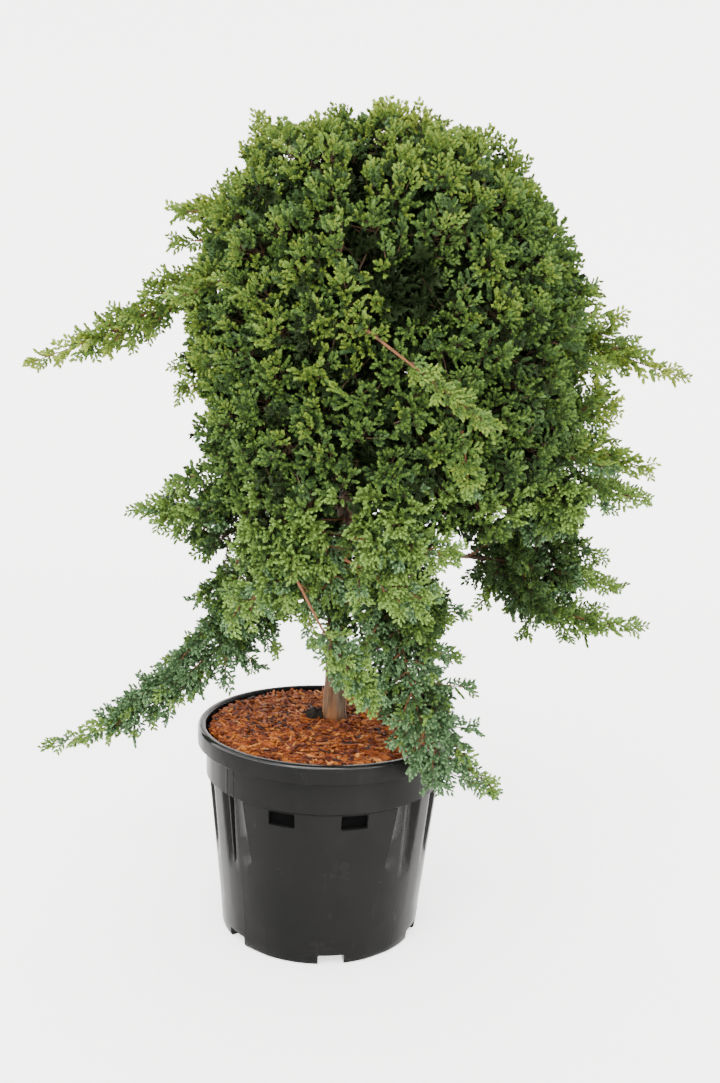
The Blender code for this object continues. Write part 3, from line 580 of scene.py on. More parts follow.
def copiesMesh(name, block):
    places, corners, start = [], [], 0
    for points, faces, moves in block:
        placed = np.einsum("nij,vj->nvi", moves[:, :, :3], points) + moves[:, None, :, 3]
        shifts = start + np.arange(len(moves)) * len(points)
        places.append(placed.reshape(-1, 3))
        corners.append((faces[None] + shifts[:, None, None]).reshape(-1, 3))
        start += len(moves) * len(points)
    places, corners = np.concatenate(places), np.concatenate(corners)
    mesh = bpy.data.meshes.new(name)
    mesh.vertices.add(len(places))
    mesh.vertices.foreach_set("co", places.astype(np.float32).ravel())
    mesh.loops.add(corners.size)
    mesh.loops.foreach_set("vertex_index", corners.astype(np.int32).ravel())
    mesh.polygons.add(len(corners))
    mesh.polygons.foreach_set("loop_start", np.arange(0, corners.size, 3, dtype=np.int32))
    mesh.update(calc_edges=True)
    mesh.shade_flat()
    return mesh


def joinCopies(name, groups, surface, slotName, *replaced):
    # one piece for each block of copies; returns their triangles
    blocks = shareBlocks(groups)
    total = 0
    for number, block in enumerate(blocks):
        label = name if len(blocks) == 1 else f"{name}_{number + 1}"
        piece = linkPiece(label, copiesMesh(label, block), surface, slotName, *replaced)
        total += len(piece.data.polygons)
    return total


def chipMaterial(name, colour):
    # fibres of bark: the tint, darker and lighter in fine streaks
    bark = Shader("bark_" + name, chip["roughness"], chip["specular"])
    streak = bark.noise(*chip["streak"])
    dark = tuple(chip["dark"] * c for c in colour)
    light = tuple(min(1, chip["light"] * c) for c in colour)
    bark.paint(bark.ramp(streak, list(zip(chip["stops"], (dark, colour, light)))))
    bark.bump(streak, *chip["bump"])
    return bark.made


def scatterChips(rule, count, sizes, dealt):
    # copies of a few forms all over the mound, dealt to the tints
    bend = chip["bend"]
    forms = [chipTemplate(rule, *size, rule.uniform(-bend, bend)) for size in sizes]
    moves = {(tint, k): [] for tint in chipTints for k in range(len(forms))}
    shares = [share for _, share in chipTints.values()]
    foot = Vector(chip["stemFoot"])
    for i in range(count):
        k = i % len(forms)
        turn = rule.uniform(0, math.tau)
        radius = chip["reach"] * math.sqrt(rule.random())
        place = Vector((radius * math.cos(turn), radius * math.sin(turn), 0))
        if (place.xy - foot).length < chip["stemClear"]:
            continue
        half = sizes[k][0] / 2
        if radius + half > chip["reach"] + chip["slack"]:
            place *= (chip["reach"] - half) / radius
        place.z = moundHeight(place.xy.length) + rule.uniform(*chip["lift"])
        yaw = Matrix.Rotation(rule.uniform(0, math.tau), 3, "Z")
        pitch = Matrix.Rotation(rule.gauss(0, chip["pitch"]), 3, "Y")
        roll = Matrix.Rotation(rule.gauss(0, chip["roll"]), 3, "X")
        size = rule.uniform(*chip["size"])
        tint = rule.choices(list(chipTints), shares)[0]
        moves[tint, k].append(np.column_stack([np.array(yaw @ (pitch @ roll)) * size, np.array(place)]))
    for (tint, k), rows in moves.items():
        if rows:
            dealt[tint].append((*forms[k], np.array(rows)))


def makeChips():
    rule = random.Random(f"{seed} chips")
    kinds = [(count, [tuple(rule.uniform(*span) for span in spans) for _ in range(forms)])
             for count, forms, *spans in chip["kinds"]]
    dealt = {tint: [] for tint in chipTints}
    for count, sizes in kinds:
        scatterChips(rule, count, sizes, dealt)
    for tint, groups in dealt.items():
        joinCopies("bark_" + tint, groups, chipMaterial(tint, chipTints[tint][0]), "bark_chips")


def makeClod():
    bm = bmesh.new()
    for place, size in clod["lumps"]:
        ball = bmesh.ops.create_icosphere(bm, subdivisions=clod["splits"], radius=1)["verts"]
        bmesh.ops.scale(bm, vec=size, verts=ball)
        for vertex in ball:
            vertex.co += vertex.co * clod["relief"] * noise.noise(vertex.co * clod["reliefScale"])
        bmesh.ops.translate(bm, vec=place, verts=ball)
    soil = grainMaterial("dark_soil", clod["look"])
    linkPiece("dark_soil", meshFrom(bm, "dark_soil", softAngle), soil, "bark_chips")


makeMound()
makeChips()
makeClod()
print("mulch made")


# Stem and boughs, on the same lines as the CAD limbs; a row of the stem is a place and its radius

stem = {
    "rows": ((0.0095, 0.000, 0.2523, 0.0172), (0.0095, 0.000, 0.262, 0.0152), (0.0098, 0.000, 0.300, 0.0132),
             (0.0108, 0.000, 0.400, 0.0118), (0.0150, -0.004, 0.500, 0.0108),
             (0.0240, -0.010, 0.600, 0.0098), (0.0350, -0.020, 0.700, 0.0080),
             (0.0450, -0.028, 0.800, 0.0050)),
    "sides": 36, "step": 0.0024, "ridges": 0.00085, "ridgeScale": (260, 260, 38), "ridgeFlat": 0.5,
    "plates": 0.0006, "plateScale": (120, 120, 70), "plateShift": (7, 3, 0), "shrink": 0.0004,
}
bough = {
    "radius": 0.0046, "tipRadius": 0.0028, "square": 0.004, "clear": 0.0003, "pull": 0.35,
    "sides": 10, "steps": 14, "relief": 0.00035, "reliefScale": 260, "stagger": 0.0125,
}
barkLook = {
    "roughness": 0.85, "specular": 0.25, "grain": (190, 6, (1, 1, 0.14)), "bump": (0.7, 0.0012),
    "stops": ((0.30, (0.014, 0.008, 0.005)), (0.50, (0.058, 0.036, 0.021)), (0.72, (0.125, 0.085, 0.055))),
    # warm patches and a grey bloom: their noise, how it fades in, and their tint
    "covers": (
        ((60, 3, (1, 1, 0.22)), (0.46, 0.62, 0.75), (0.15, 0.055, 0.014)),
        ((22, 3, (1, 1, 0.3)), (0.5, 0.66, 0.6), (0.105, 0.090, 0.070)),
    ),
}


def stemAt(height):
    rows = stem["rows"]
    low, high = next(pair for pair in zip(rows, rows[1:]) if height <= pair[1][2])
    share = max(0.0, (height - low[2]) / (high[2] - low[2]))
    start, end = Vector(low[:3]), Vector(high[:3])
    return start.lerp(end, share), low[3] + (high[3] - low[3]) * share, (end - start).normalized()


def stemSide(height, towards):
    middle, radius, up = stemAt(height)
    out = towards - middle
    out = (out - up * out.dot(up)).normalized()
    return middle + out * (radius + bough["clear"]), out


def ringFrames(places, radii):
    # a frame for each ring of a tube, carried along the path without twist
    frames, side = [], None
    for i, place in enumerate(places):
        ahead = (places[min(i + 1, len(places) - 1)] - places[max(i - 1, 0)]).normalized()
        side = ahead.orthogonal() if side is None else side - ahead * side.dot(ahead)
        side.normalize()
        up = ahead.cross(side)
        columns = (side * radii[i], up * radii[i], ahead * radii[i], place)
        matrix = Matrix([(*column, 0.0) for column in columns]).transposed()
        matrix[3] = (0, 0, 0, 1)
        frames.append(matrix)
    return frames


def growTube(bm, places, radii, sides):
    frames = ringFrames(places, radii)
    ring = bmesh.ops.create_circle(bm, cap_ends=True, segments=sides, radius=1)["verts"]
    bmesh.ops.transform(bm, matrix=frames[0], verts=ring)
    grown = list(ring)
    edges = list(dict.fromkeys(e for v in ring for e in v.link_edges))
    for before, after in zip(frames, frames[1:]):
        made = bmesh.ops.extrude_edge_only(bm, edges=edges)["geom"]
        ring = [part for part in made if isinstance(part, bmesh.types.BMVert)]
        fresh = set(ring)
        edges = [part for part in made if isinstance(part, bmesh.types.BMEdge) and set(part.verts) <= fresh]
        bmesh.ops.transform(bm, matrix=after @ before.inverted(), verts=ring)
        grown += ring
    bmesh.ops.holes_fill(bm, edges=edges, sides=sides)
    return grown


def addTube(bm, places, radii, sides):
    # grown apart first, because an operator slows down in a large bmesh
    single = bmesh.new()
    growTube(single, places, radii, sides)
    mesh = meshFrom(single, "tube")
    bm.from_mesh(mesh)
    bpy.data.meshes.remove(mesh)


def taperRadii(first, last, count):
    return [first - (first - last) / (count - 1) * i for i in range(count)]


def linkLimbs(bm, name, surface, *replaced):
    bmesh.ops.recalc_face_normals(bm, faces=bm.faces)
    linkPiece(name, meshFrom(bm, name, softAngle), surface, "bark", *replaced)


def barkMaterial():
    bark = Shader("bark", barkLook["roughness"], barkLook["specular"])
    grain = bark.noise(*barkLook["grain"])
    colour = bark.ramp(grain, barkLook["stops"])
    for spread, fade, tint in barkLook["covers"]:
        colour = bark.cover(colour, spread, fade, tint)
    bark.paint(colour)
    bark.bump(grain, *barkLook["bump"])
    return bark.made


def noiseAt(point, scales, shifts=(0, 0, 0)):
    return noise.noise(Vector([p * scale + shift for p, scale, shift in zip(point, scales, shifts)]))


barkSkin = barkMaterial()


def makeStem():
    rows = stem["rows"]
    count = int((rows[-1][2] - rows[0][2]) / stem["step"])
    places, radii = [], []
    for i in range(count + 1):
        place, radius, _ = stemAt(rows[0][2] + (rows[-1][2] - rows[0][2]) * i / count)
        places.append(place)
        radii.append(radius - stem["shrink"])
    bm = bmesh.new()
    grown = growTube(bm, places, radii, stem["sides"])
    tree = treeOf(places)
    for vertex in grown:
        middle = tree.find(vertex.co)[0]
        point, out = vertex.co, (vertex.co - middle).normalized()
        ridge = noiseAt(point, stem["ridgeScale"])
        plate = noiseAt(point, stem["plateScale"], stem["plateShift"])
        relief = stem["ridges"] * (ridge - abs(ridge) * stem["ridgeFlat"]) + stem["plates"] * plate
        vertex.co = point + out * relief
    linkLimbs(bm, "stem_bark", barkSkin, "stem")


makeStem()
print("stem made")


# Crown: the same masses, skins and arms as the CAD solids

crown = {
    "middle": Vector((0.056, -0.040, 0.662)), "half": Vector((0.244, 0.198, 0.300)), "power": 2.5,
    "hollow": 0.062, "shellShare": 0.74, "skinShare": 0.95, "massGap": 0.003, "limbGap": 0.006,
    "rimClear": 0.262, "rimClearRadius": 0.165, "footShare": 0.92, "topShare": 0.72, "furthestSkin": 0.128,
    "crestDrop": 0.045, "leastSlope": 0.2, "bisections": 16,
}
# name, how many, first azimuth, elevation, and where the lowest limb leaves the stem
tiers = (("crest", 4, 30, 47, None), ("shoulder", 6, 190, 15, 0.640), ("flank", 6, -130, -22, 0.545))
# middle, half size, and where the limb leaves the stem
hanging = {
    "left_curtain": ((-0.108, -0.030, 0.508), (0.062, 0.074, 0.074), 0.515),
    "front_left_curtain": ((-0.034, -0.128, 0.485), (0.076, 0.062, 0.082), 0.500),
    "front_curtain": ((0.070, -0.148, 0.512), (0.070, 0.058, 0.072), 0.515),
    "right_curtain": ((0.245, -0.060, 0.540), (0.062, 0.068, 0.058), 0.500),
    "back_right_curtain": ((0.200, 0.078, 0.548), (0.066, 0.056, 0.046), 0.485),
    "back_left_curtain": ((-0.030, 0.085, 0.520), (0.078, 0.058, 0.058), 0.485),
    "right_hanging": ((0.238, 0.030, 0.450), (0.082, 0.058, 0.078), 0.470),
    "front_spray": ((0.002, -0.140, 0.396), (0.044, 0.036, 0.046), 0.470),
    "upper_skirt": ((0.090, -0.108, 0.404), (0.064, 0.052, 0.072), 0.450),
    "lower_skirt": ((0.098, -0.102, 0.318), (0.070, 0.052, 0.054), 0.430),
    "low_left": ((-0.108, -0.008, 0.390), (0.054, 0.050, 0.068), 0.450),
}
# owner, start, tip, sag and half width
arms = (
    ("crest_3", (-0.118, -0.035, 0.846), (-0.182, -0.030, 0.838), 0.000, 0.032),
    ("shoulder_1", (-0.160, -0.044, 0.746), (-0.344, -0.040, 0.667), 0.000, 0.040),
    ("shoulder_4", (0.280, -0.058, 0.712), (0.382, -0.046, 0.679), -0.002, 0.028),
    ("flank_3", (0.285, -0.060, 0.596), (0.356, -0.050, 0.576), 0.002, 0.030),
    ("flank_3", (0.262, -0.055, 0.636), (0.312, -0.050, 0.646), 0.000, 0.044),
    ("right_curtain", (0.288, -0.055, 0.556), (0.354, -0.050, 0.543), 0.004, 0.026),
    ("left_curtain", (-0.145, -0.030, 0.512), (-0.224, -0.030, 0.505), 0.006, 0.034),
    ("low_left", (-0.122, -0.009, 0.350), (-0.336, -0.012, 0.210), 0.018, 0.050),
    ("right_hanging", (0.252, 0.030, 0.400), (0.380, 0.030, 0.376), 0.008, 0.034),
    ("right_hanging", (0.292, 0.030, 0.440), (0.348, 0.030, 0.424), 0.002, 0.022),
    ("lower_skirt", (0.134, -0.124, 0.292), (0.193, -0.132, 0.223), 0.000, 0.038),
    ("front_spray", (0.016, -0.150, 0.372), (0.049, -0.158, 0.322), 0.000, 0.028),
    ("front_left_curtain", (-0.050, -0.132, 0.432), (-0.096, -0.118, 0.415), 0.000, 0.022),
)
armStep = 0.048


def armPlaces(start, tip, sag):
    start, tip = Vector(start), Vector(tip)
    count = max(2, round((tip - start).length / armStep))
    shares = [i / count for i in range(count + 1)]
    return [start.lerp(tip, t) + Vector((0, 0, -4 * sag * t * (1 - t))) for t in shares]


def planMasses():
    masses = {}
    top = crown["middle"] + Vector((0, 0, crown["half"].z * crown["topShare"]))
    masses["top"] = {"seed": top, "half": None, "leave": None}
    for tier, count, first, elevation, lowest in tiers:
        lift = math.radians(elevation)
        for i in range(count):
            turn = math.radians(first + i * 360 / count)
            out = Vector((math.cos(lift) * math.cos(turn), math.cos(lift) * math.sin(turn), math.sin(lift)))
            leave = lowest and lowest + (i * 3 % count) * bough["stagger"]
            place = crown["middle"] + crown["shellShare"] * out * crown["half"]
            masses[f"{tier}_{i + 1}"] = {"seed": place, "half": None, "leave": leave}
    for name, (place, half, leave) in hanging.items():
        masses[name] = {"seed": Vector(place), "half": Vector(half), "leave": leave}
    for name, mass in masses.items():
        mass["name"] = name
        mass["arms"] = [(armPlaces(*arm), half) for owner, *arm, half in arms if owner == name]
        mass["seeds"] = [mass["seed"]] + [place for places, _ in mass["arms"] for place in places]
    return masses


masses = planMasses()
seedOwners = np.array([name for name, mass in masses.items() for _ in mass["seeds"]])
seedPlaces = np.array([place for mass in masses.values() for place in mass["seeds"]])


def skinReach(directions, half, power):
    # distance from the middle to the skin along each direction
    off = directions / np.array(half)
    level = np.hypot(off[:, 0], off[:, 1]) ** power + np.abs(off[:, 2]) ** power
    return level ** (-1 / power)


def skinNormals(offsets, half, power):
    size = np.array(half)
    off = offsets / size
    level = np.hypot(off[:, 0], off[:, 1])[:, None]
    flat = np.maximum(level, 1e-6) ** (power - 2) * off[:, :2] / size[:2]
    rise = np.abs(off[:, 2:]) ** (power - 1) * np.sign(off[:, 2:]) / size[2]
    return unit(np.concatenate([flat, rise], axis=1))


def borderGap(points, name):
    # how far each point of a mass stands from its border with the others
    apart = np.linalg.norm(points[:, None] - seedPlaces[None], axis=2)
    mine = apart[:, seedOwners == name].min(axis=1)
    theirs = apart[:, seedOwners != name].min(axis=1)
    return (theirs - mine) / 2


def cellLimit(place, directions, name):
    # how far each direction runs before it meets another mass
    apart = seedPlaces[seedOwners != name] - np.array(place)
    length = np.linalg.norm(apart, axis=1)
    rate = directions @ (apart / length[:, None]).T
    limit = np.where(rate > 0.0001, (length - crown["massGap"]) / 2 / np.maximum(rate, 0.0001), 1.0)
    return np.minimum(limit.min(axis=1), crown["half"].z)


def domeReach(place, directions, share):
    # distance from a place inside the dome to its skin, drawn in by this share
    near, far = np.zeros(len(directions)), np.full(len(directions), 2 * crown["half"].z)
    start = np.array(place - crown["middle"])
    for _ in range(crown["bisections"]):
        reach = (near + far) / 2
        off = (start + directions * reach[:, None]) / np.array(crown["half"])
        level = np.hypot(off[:, 0], off[:, 1]) ** crown["power"] + np.abs(off[:, 2]) ** crown["power"]
        inside = level < share ** crown["power"]
        near, far = np.where(inside, reach, near), np.where(inside, far, reach)
    return near


def setFoot(mass):
    place = mass["seed"]
    if mass["name"] == "top":
        mass["along"], mass["foot"] = stemAt(stem["rows"][-1][2])[2], Vector(stem["rows"][-1][:3])
        return
    if mass["leave"] is None:
        height = min(stem["rows"][-1][2], place.z) - crown["crestDrop"]
        mass["foot"], mass["along"] = stemSide(height, place)
        return
    middle = stemAt(mass["leave"])[0]
    along = (place - middle).normalized()
    if mass["half"] is None:
        level = Vector((place.x - middle.x, place.y - middle.y, 0))
        back = (level.length - crown["hollow"]) / max(crown["leastSlope"], along.dot(level.normalized()))
    else:
        back = skinReach(np.array([-along]), mass["half"], 2)[0] * crown["footShare"]
    room = cellLimit(place, np.array([-along]), mass["name"])[0] - crown["limbGap"]
    mass["along"] = along
    mass["foot"] = place - along * min(back, room)


def boughPath(mass):
    tip, along = mass["foot"], mass["along"]
    start, out = stemSide(mass["leave"], tip)
    first, last = start + out * bough["square"], tip - along * bough["square"]
    pull = bough["pull"] * (last - first).length
    bends = (first, first + out * pull, last - along * pull, last)
    places = [start]
    for i in range(bough["steps"] + 1):
        t = i / bough["steps"]
        weights = ((1 - t) ** 3, 3 * t * (1 - t) ** 2, 3 * t * t * (1 - t), t ** 3)
        places.append(sum((w * p for w, p in zip(weights, bends)), Vector()))
    return places + [tip]


def makeBoughs():
    bm = bmesh.new()
    replaced = []
    for name, mass in masses.items():
        setFoot(mass)
        if mass["leave"] is None:
            continue
        places = boughPath(mass)
        radii = taperRadii(bough["radius"], bough["tipRadius"], len(places))
        for vertex in growTube(bm, places, radii, bough["sides"]):
            vertex.co += bough["relief"] * noise.noise_vector(vertex.co * bough["reliefScale"])
        replaced.append("bough_" + name)
    linkLimbs(bm, "boughs", barkSkin, *replaced)


makeBoughs()
print("boughs made")


# Sprays of needles: a main shoot with side shoots, each with whorls of short awl needles

spray = {
    "forms": 8, "length": 0.0195, "bare": 0.14, "sideShoots": 7, "sideAngle": 50,
    "sideLengths": (0.0094, 0.0055), "swing": 0.90, "mainFrom": 0.46,
    "whorl": 3, "whorlStep": 0.0031, "mainStep": 0.0032,
    "needle": 0.0050, "needleWidth": 0.0035, "openAngle": 31, "tipAngle": 20, "fold": 0.22, "tipShare": 0.50,
    "belly": 0.36, "shorten": 0.28, "narrow": 0.2, "openSpread": 6, "turnSpread": 0.3,
    "needleSizes": (0.85, 1.12), "lastSide": 0.88, "sideClose": 14, "sideSpread": 8,
    "sideSizes": (0.85, 1.15),
}
plumeSpray = spray | {
    "length": 0.0170, "bare": 0.10, "sideShoots": 5, "sideAngle": 46, "sideLengths": (0.0108, 0.0060),
    "swing": 0.25, "mainFrom": 0.35, "whorlStep": 0.0032, "mainStep": 0.0033, "needle": 0.0056,
    "needleWidth": 0.0043, "openAngle": 25, "tipAngle": 16,
}
innerSpray = spray | {
    "forms": 4, "length": 0.034, "bare": 0.15, "sideShoots": 4, "sideAngle": 58,
    "sideLengths": (0.018, 0.013), "swing": 1.5, "mainFrom": 0.30, "whorlStep": 0.0062,
    "mainStep": 0.0068, "needle": 0.0102, "needleWidth": 0.0055, "openAngle": 50, "tipAngle": 28,
    "fold": 0.18,
}
needleTints = {
    "yellow": (0.245, 0.310, 0.040),
    "olive": (0.150, 0.205, 0.027),
    "fresh": (0.092, 0.160, 0.026),
    "green": (0.054, 0.103, 0.023),
    "deep": (0.027, 0.056, 0.015),
    "mint": (0.170, 0.275, 0.062),
    "blue": (0.118, 0.205, 0.088),
    "bluegreen": (0.046, 0.094, 0.037),
    "shade": (0.010, 0.018, 0.005),
}
needleLook = {"roughness": 0.60, "specular": 0.25, "shadeSpecular": 0.10}
# each dress: tint of a spray's older needles and of its tips
dresses = {
    "bright": ("olive", "yellow"), "sunny": ("fresh", "olive"), "plain": ("green", "fresh"),
    "fern": ("fresh", "mint"), "dull": ("deep", "green"), "glaucous": ("bluegreen", "blue"),
    "dusk": ("deep", "deep"), "inner": ("shade", "shade"),
}


def needleCorners(form, place, along, across, length, width):
    # an awl: root, one edge, tip, other edge, folded along its middle
    belly = place + along * length * form["belly"] + along.cross(across) * width * form["fold"]
    return [place, belly - across * width * 0.5, place + along * length, belly + across * width * 0.5]


def dressShoot(form, rule, start, along, length, step, firstAt, needles):
    # whorls along one shoot, closing towards its tip; adds (corners, is it a tip needle)
    side = along.orthogonal().normalized()
    turn = rule.uniform(0, math.tau)
    openSpread, turnSpread = form["openSpread"], form["turnSpread"]
    count = max(2, round((length - firstAt) / step))
    for i in range(count + 1):
        t = i / count
        place = start + along * (firstAt + (length - firstAt) * t)
        opened = form["openAngle"] + (form["tipAngle"] - form["openAngle"]) * t ** 2
        angle = math.radians(opened + rule.uniform(-openSpread, openSpread))
        size = form["needle"] * (1 - form["shorten"] * t ** 2) * rule.uniform(*form["needleSizes"])
        width = form["needleWidth"] * (1 - form["narrow"] * t)
        turn += math.pi / form["whorl"]
        for k in range(form["whorl"]):
            around = turn + k * math.tau / form["whorl"] + rule.uniform(-turnSpread, turnSpread)
            out = side.copy()
            out.rotate(Matrix.Rotation(around, 3, along))
            lean = along * math.cos(angle) + out * math.sin(angle)
            corners = needleCorners(form, place, lean, along.cross(out), size, width)
            needles.append((corners, t > 1 - form["tipShare"]))


def sprayTemplate(form, rule):
    # the main shoot runs along +X; two point sets, older needles and tips
    needles = []
    along = Vector((1, 0, 0))
    first = form["length"] * form["mainFrom"]
    dressShoot(form, rule, Vector(), along, form["length"], form["mainStep"], first, needles)
    turn = rule.uniform(0, math.tau)
    longest, shortest = form["sideLengths"]
    spread = form["sideSpread"]
    for i in range(form["sideShoots"]):
        t = i / (form["sideShoots"] - 1)
        place = along * form["length"] * (form["bare"] + (form["lastSide"] - form["bare"]) * t)
        turn += math.pi + rule.uniform(-form["swing"], form["swing"])
        angle = math.radians(form["sideAngle"] - form["sideClose"] * t + rule.uniform(-spread, spread))
        lean = Vector((math.cos(angle), math.sin(angle) * math.cos(turn), math.sin(angle) * math.sin(turn)))
        length = (longest + (shortest - longest) * t) * rule.uniform(*form["sideSizes"])
        dressShoot(form, rule, place, lean, length, form["whorlStep"], form["whorlStep"], needles)
    sets = []
    for wanted in (False, True):
        corners = np.array([c for c, tip in needles if tip == wanted], dtype=float)
        count = len(corners)
        faces = np.array([(0, 1, 2), (0, 2, 3)])[None] + (np.arange(count) * 4)[:, None, None]
        sets.append((corners.reshape(-1, 3), faces.reshape(-1, 3)))
    return sets


def sprayForms(form, label):
    forms = [sprayTemplate(form, random.Random(f"{seed} {label} {i}")) for i in range(form["forms"])]
    print(label, "forms:", [len(older[1]) + len(tips[1]) for older, tips in forms], "triangles")
    return forms


outerForms = sprayForms(spray, "spray")
plumeForms = sprayForms(plumeSpray, "plume")
innerForms = sprayForms(innerSpray, "inner spray")


def axisMoves(places, along, roll, scale):
    # placements that lay +X along each direction, rolled and scaled
    along = unit(along)
    helper = np.where(np.abs(along[:, 2:]) < 0.9, np.array([[0.0, 0.0, 1.0]]), np.array([[1.0, 0.0, 0.0]]))
    side = unit(np.cross(helper, along))
    up = np.cross(along, side)
    turned = side * np.cos(roll)[:, None] + up * np.sin(roll)[:, None]
    columns = [along, turned, np.cross(along, turned)]
    matrix = np.stack(columns, axis=2) * scale[:, None, None]
    return np.concatenate([matrix, places[:, :, None]], axis=2)


# Where the sprays stand

growth = {
    "apart": 0.0115, "tries": 7, "hangingSwell": 0.010, "standOut": 0.007,
    "shelf": 0.016, "hangingShelf": 0.4, "shelfHeight": 0.085, "shelfWarp": 1.3, "shelfScale": 8.0,
    "lumpApart": 0.038, "lumpReach": 0.046, "lumpHalf": 0.021, "lumpEdge": 1.4, "lumpDrop": 0.011,
    "lumpJitter": 0.011, "lumpLean": 0.75,
    "bump": 0.010, "bumpScale": 13.0, "fineBump": 0.004, "fineScale": 60.0, "fade": 1.6,
    "seam": 0.010, "hangingSeam": 0.004, "seamWidth": 0.008,
    "bend": 0.22, "rise": 0.42, "riseLoss": 0.3, "droop": 0.30, "size": (0.88, 1.16), "darkest": 0.5,
    "backApart": 0.0188, "backDepth": (0.018, 0.030), "backBend": 0.8, "backSize": (1.1, 1.4),
    "backDarkest": 0.15, "coreApart": 0.0172, "coreDepth": (0.055, 0.085), "coreSize": 1.5,
    "innerPerMass": 16, "innerHanging": 14, "innerDepth": (0.45, 0.80), "innerBend": 0.7,
    "innerClear": 0.018, "innerSize": (0.85, 1.15),
}
# dark hollows in the dome's front: middle on the skin, half width, and how deep
hollows = (
    ((0.079, -0.215, 0.759), 0.041, 0.060),
    ((0.020, -0.232, 0.667), 0.015, 0.034),
    ((-0.037, -0.150, 0.891), 0.014, 0.024),
    ((0.014, -0.225, 0.788), 0.013, 0.022),
    ((0.209, -0.180, 0.689), 0.016, 0.028),
    ((-0.040, -0.225, 0.693), 0.014, 0.024),
    ((0.035, -0.230, 0.591), 0.016, 0.028),
)
# where the outline draws in a little: middle, half width, and how far
dents = (
    ((0.215, -0.040, 0.905), 0.045, 0.012),
    ((0.262, -0.040, 0.800), 0.035, 0.018),
    ((0.085, -0.050, 0.948), 0.040, 0.016),
    ((-0.006, -0.050, 0.955), 0.035, 0.012),
    ((-0.149, -0.040, 0.597), 0.055, 0.040),
    ((-0.180, -0.040, 0.690), 0.032, 0.020),
    ((-0.185, -0.040, 0.640), 0.032, -0.010),
    ((0.145, -0.148, 0.500), 0.045, 0.026),
    ((0.265, -0.050, 0.515), 0.048, 0.028),
    ((0.160, -0.108, 0.400), 0.050, 0.018),
    ((0.175, -0.102, 0.320), 0.050, 0.022),
    ((0.138, -0.120, 0.522), 0.030, 0.022),
    ((0.296, -0.050, 0.538), 0.035, 0.026),
    ((-0.050, -0.050, 0.905), 0.080, -0.010),
    ((0.040, -0.050, 0.955), 0.072, -0.012),
    ((0.299, -0.050, 0.648), 0.036, 0.020),
    ((0.285, -0.050, 0.685), 0.035, -0.012),
    ((0.275, -0.050, 0.605), 0.035, -0.010),
    ((-0.150, -0.030, 0.480), 0.050, -0.012),
)
# how closely each loose mass is set on its skin, 1 being as the dome; the spray in front is all long shoots
airy = {
    "right_hanging": 0.62, "low_left": 0.60, "lower_skirt": 0.55, "upper_skirt": 0.90, "left_curtain": 0.90,
    "front_spray": 0.0,
}


def spreadPoints(points, apart):
    # keeps each point that is far enough from those kept before it
    kept, cells = [], {}
    for i, key in enumerate(map(tuple, np.floor(points / apart).astype(int))):
        near = [j for dx in (-1, 0, 1) for dy in (-1, 0, 1) for dz in (-1, 0, 1)
                for j in cells.get((key[0] + dx, key[1] + dy, key[2] + dz), ())]
        if near and (np.linalg.norm(points[near] - points[i], axis=1) < apart).any():
            continue
        cells.setdefault(key, []).append(i)
        kept.append(i)
    return np.array(kept, dtype=int)


def evenDirections(count, rule):
    return unit(rule.normal(size=(count, 3)))


def clearOfPot(points):
    near = np.hypot(points[:, 0], points[:, 1]) < crown["rimClearRadius"]
    return ~(near & (points[:, 2] < crown["rimClear"]))


def field(points, scale, shift):
    return np.array([noise.noise(Vector(p) * scale + Vector((shift, 0, 0))) for p in points])


def isHanging(owner):
    return np.array([masses[name]["half"] is not None for name in owner])


def skinPlaces(middle, half, power, names, apart, rule):
    # places and outward normals on one skin, with the mass that each belongs to
    size = float(np.mean(np.array(half)))
    directions = evenDirections(int(growth["tries"] * 4 * math.pi * (size / apart) ** 2), rule)
    points = np.array(middle) + directions * skinReach(directions, half, power)[:, None]
    nearest = np.linalg.norm(points[:, None] - seedPlaces[None], axis=2)
    owner = seedOwners[nearest.argmin(axis=1)]
    fine = np.isin(owner, names) & clearOfPot(points)
    if half is crown["half"]:
        fine &= nearest.min(axis=1) < crown["furthestSkin"]
    points, owner = points[fine], owner[fine]
    kept = spreadPoints(points, apart)
    points, owner = points[kept], owner[kept]
    return points, skinNormals(points - np.array(middle), half, power), owner


def allSkins(apart, rule):
    # places on the dome's skin and on every hanging mass, further apart where a mass is airy
    domeNames = [name for name, mass in masses.items() if mass["half"] is None]
    rows = [skinPlaces(crown["middle"], crown["half"], crown["power"], domeNames, apart, rule)]
    swell = Vector((1, 1, 1)) * growth["hangingSwell"]
    for name, mass in masses.items():
        close = airy.get(name, 1.0)
        if mass["half"] is not None and close:
            rows.append(skinPlaces(mass["seed"], mass["half"] + swell, 2, [name], apart / close, rule))
    return [np.concatenate(parts) for parts in zip(*rows)]


def fadeShares(points, place, width):
    # 1 in the middle of a place, falling to 0 a little outside its half width
    return np.clip(growth["fade"] - np.linalg.norm(points - np.array(place), axis=1) / width, 0, 1)


